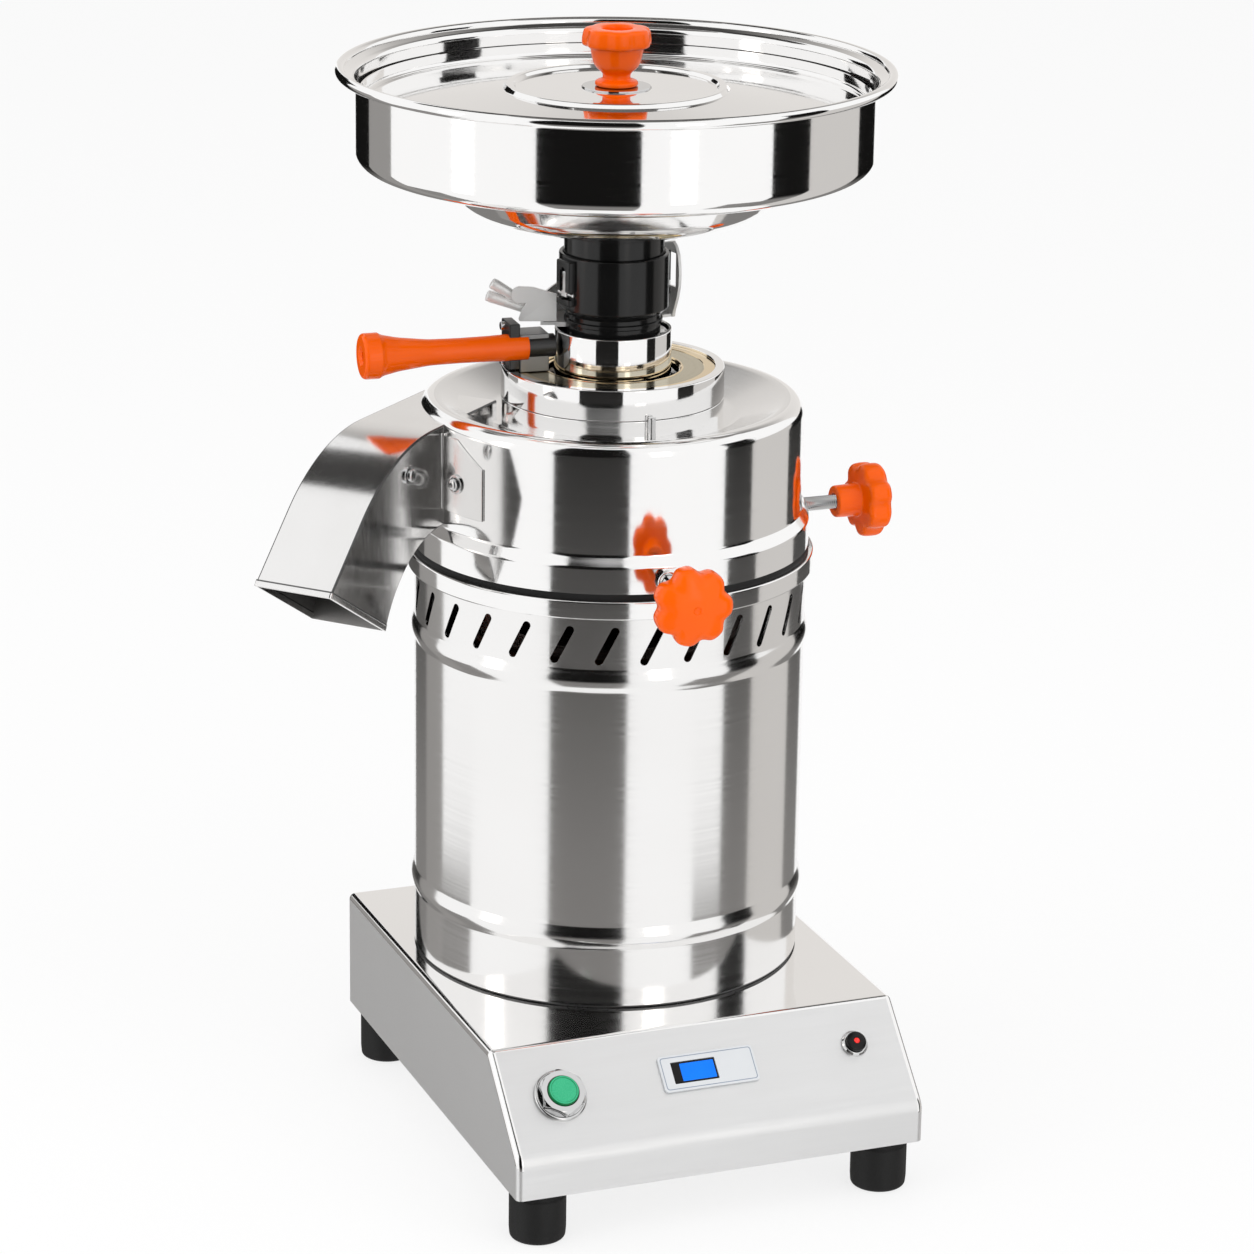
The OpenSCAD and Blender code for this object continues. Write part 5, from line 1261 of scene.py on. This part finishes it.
# Paint for a card that glows by its height in metres, from a list of heights and levels
def card_paint(name, levels):
    material = bpy.data.materials.new(name)
    material.use_nodes = True
    nodes = material.node_tree.nodes
    links = material.node_tree.links
    nodes.clear()
    place = nodes.new("ShaderNodeTexCoord")
    parts = nodes.new("ShaderNodeSeparateXYZ")
    links.new(place.outputs["Object"], parts.inputs[0])
    lowest = levels[0][0]
    highest = levels[-1][0]
    height = nodes.new("ShaderNodeMapRange")
    height.inputs["From Min"].default_value = lowest
    height.inputs["From Max"].default_value = highest
    links.new(parts.outputs["Z"], height.inputs["Value"])
    ramp = nodes.new("ShaderNodeValToRGB")
    links.new(height.outputs["Result"], ramp.inputs[0])
    stops = ramp.color_ramp.elements
    peak = max(1, levels[-1][1])
    while len(stops) < len(levels):
        stops.new(0.5)
    for stop, (z, level) in zip(stops, levels):
        share = level / peak
        stop.position = (z - lowest) / (highest - lowest)
        stop.color = (share, share * 0.97, share * 0.94, 1)
    glow = nodes.new("ShaderNodeEmission")
    glow.inputs["Strength"].default_value = peak
    links.new(ramp.outputs[0], glow.inputs["Color"])
    out = nodes.new("ShaderNodeOutputMaterial")
    links.new(glow.outputs[0], out.inputs[0])
    material.cycles.emission_sampling = "NONE"
    return material


# Lets only reflections see a card
def reflected_only(piece, levels):
    piece.data.materials.append(card_paint(piece.name, levels))
    piece.visible_camera = False
    piece.visible_diffuse = False
    piece.visible_shadow = False
    piece.visible_transmission = False


# Distances and heights of the cards are in metres
CARD_DISTANCE = 2
STRIP_DISTANCE = 1.9
CARD_BOTTOM = -2.2
LOW_CARD_TOP = -0.58


# An upright card round the object, between two directions from the camera's side
def card(name, start, end, bottom, top, levels):
    radius = STRIP_DISTANCE if levels is STRIP else CARD_DISTANCE
    steps = max(2, int(abs(end - start) / 4))
    points = []
    for step in range(steps + 1):
        direction = outward(CAMERA_AZ + start + (end - start) * step / steps)
        points.append(tuple((direction * radius + UP * bottom) / MM))
    piece = drawn(name, points)
    bpy.ops.mesh.select_all(action="SELECT")
    bpy.ops.mesh.extrude_region_move(TRANSFORM_OT_translate={"value": (0, 0, top - bottom)})
    leave_edit()
    reflected_only(piece, levels)


DARK = ((-0.56, 0.22), (-0.40, 0.14), (-0.22, 0.06), (-0.03, 0.007))
LIGHT = ((-0.56, 0.61), (-0.03, 0.61))
MIDDLE = ((-0.56, 0.30), (-0.03, 0.30))
FAR_SIDE = ((0.5, 0.84), (1.35, 0.74), (1.8, 0.45), (2.3, 0.25), (2.7, 0.06), (4.6, 0.02), (5.2, 0.3))
LOW = ((CARD_BOTTOM, 0.25), (LOW_CARD_TOP, 0.25))
STRIP = ((0.1, 2.2), (1.3, 2.2))
card("card_behind_camera", -33, 11, CARD_BOTTOM, 3.6, DARK)
card("card_right", 70, 91, CARD_BOTTOM, 1.4, DARK)
card("card_right_light", 91, 130, CARD_BOTTOM, 0.5, LIGHT)
card("card_back_right", 130, 155, CARD_BOTTOM, 0.5, DARK)
card("card_left_grey", -134, -112, CARD_BOTTOM, 0.5, MIDDLE)
card("card_back_left", -160, -134, CARD_BOTTOM, 1.3, DARK)
card("card_far_side", 140, 196, 0.5, 5.2, FAR_SIDE)
card("card_high_left", 196, 246, 2.6, 5.2, FAR_SIDE)
card("card_low_left", -112, -86, CARD_BOTTOM, LOW_CARD_TOP, LOW)
card("card_low_right", 52, 70, CARD_BOTTOM, LOW_CARD_TOP, LOW)
card("strip_left", -72, -62, 0.1, 1.3, STRIP)
card("strip_right", 24, 34, 0.1, 1.3, STRIP)

CEILING_R = 1.27
CEILING = ((3.5, 0.16), (3.7, 0.16))
overhead = [outward(30 * side) * CEILING_R + UP * 3.6 for side in range(12)]
reflected_only(flat_stage("ceiling_card", overhead), CEILING)


def softbox(name, azimuth, elevation, distance, size, power):
    bpy.ops.object.select_all(action="DESELECT")
    rise = math.radians(elevation)
    direction = outward(CAMERA_AZ + azimuth) * math.cos(rise) + UP * math.sin(rise)
    bpy.ops.object.light_add(type="AREA", location=direction * distance + UP * 0.3)
    lamp = bpy.context.object
    lamp.name = name
    lamp.data.name = name
    lamp.data.size = size
    lamp.data.energy = power
    lamp.visible_glossy = False
    lamp.rotation_euler = direction.to_track_quat("Z", "Y").to_euler()


softbox("right_softbox", 40, 42, 2.6, 2.6, 22)
softbox("left_softbox", -72, 38, 2.6, 2.6, 20)

world = bpy.data.worlds.new("studio")
bpy.context.scene.world = world
world.use_nodes = True
sky = world.node_tree.nodes
sky_links = world.node_tree.links
sky.clear()
ray = sky.new("ShaderNodeLightPath")
seen = sky.new("ShaderNodeMath")
seen.operation = "MAXIMUM"
sky_links.new(ray.outputs["Is Camera Ray"], seen.inputs[0])
sky_links.new(ray.outputs["Is Glossy Ray"], seen.inputs[1])
seen_too = sky.new("ShaderNodeMath")
seen_too.operation = "MAXIMUM"
sky_links.new(seen.outputs[0], seen_too.inputs[0])
sky_links.new(ray.outputs["Is Transmission Ray"], seen_too.inputs[1])
room = sky.new("ShaderNodeBackground")
room.inputs["Strength"].default_value = ROOM_LIGHT
white = sky.new("ShaderNodeBackground")
white.inputs["Color"].default_value = (1, 1, 1, 1)
room.inputs["Color"].default_value = (1, 1, 1, 1)
blend = sky.new("ShaderNodeMixShader")
sky_links.new(seen_too.outputs[0], blend.inputs[0])
sky_links.new(room.outputs[0], blend.inputs[1])
sky_links.new(white.outputs[0], blend.inputs[2])
sky_out = sky.new("ShaderNodeOutputWorld")
sky_links.new(blend.outputs[0], sky_out.inputs[0])

# Camera

CAMERA_ASIDE = 9.949
CAMERA_HEIGHT = 280.86
CAMERA_DISTANCE = 2435.7
CAMERA_ROLL = math.radians(0.863)
FOCAL_PIXELS = 4384.6
PHOTO_PIXELS = 1254
right_side = along(CAMERA_AZ)
back_side = outward(CAMERA_AZ) * math.cos(math.radians(CAMERA_EL)) + UP * math.sin(math.radians(CAMERA_EL))
top_side = back_side.cross(right_side)
rolled_right = right_side * math.cos(CAMERA_ROLL) + top_side * math.sin(CAMERA_ROLL)
rolled_top = top_side * math.cos(CAMERA_ROLL) - right_side * math.sin(CAMERA_ROLL)
camera_data = bpy.data.cameras.new("camera")
camera_data.sensor_width = 36
camera_data.lens = FOCAL_PIXELS / PHOTO_PIXELS * camera_data.sensor_width
camera_data.clip_end = 100
camera = bpy.data.objects.new("camera", camera_data)
bpy.context.collection.objects.link(camera)
camera_place = right_side * CAMERA_ASIDE + UP * CAMERA_HEIGHT + back_side * CAMERA_DISTANCE
camera.matrix_world = seat(rolled_right, rolled_top, back_side, camera_place)
bpy.context.scene.camera = camera
bpy.context.scene.view_settings.view_transform = "Standard"
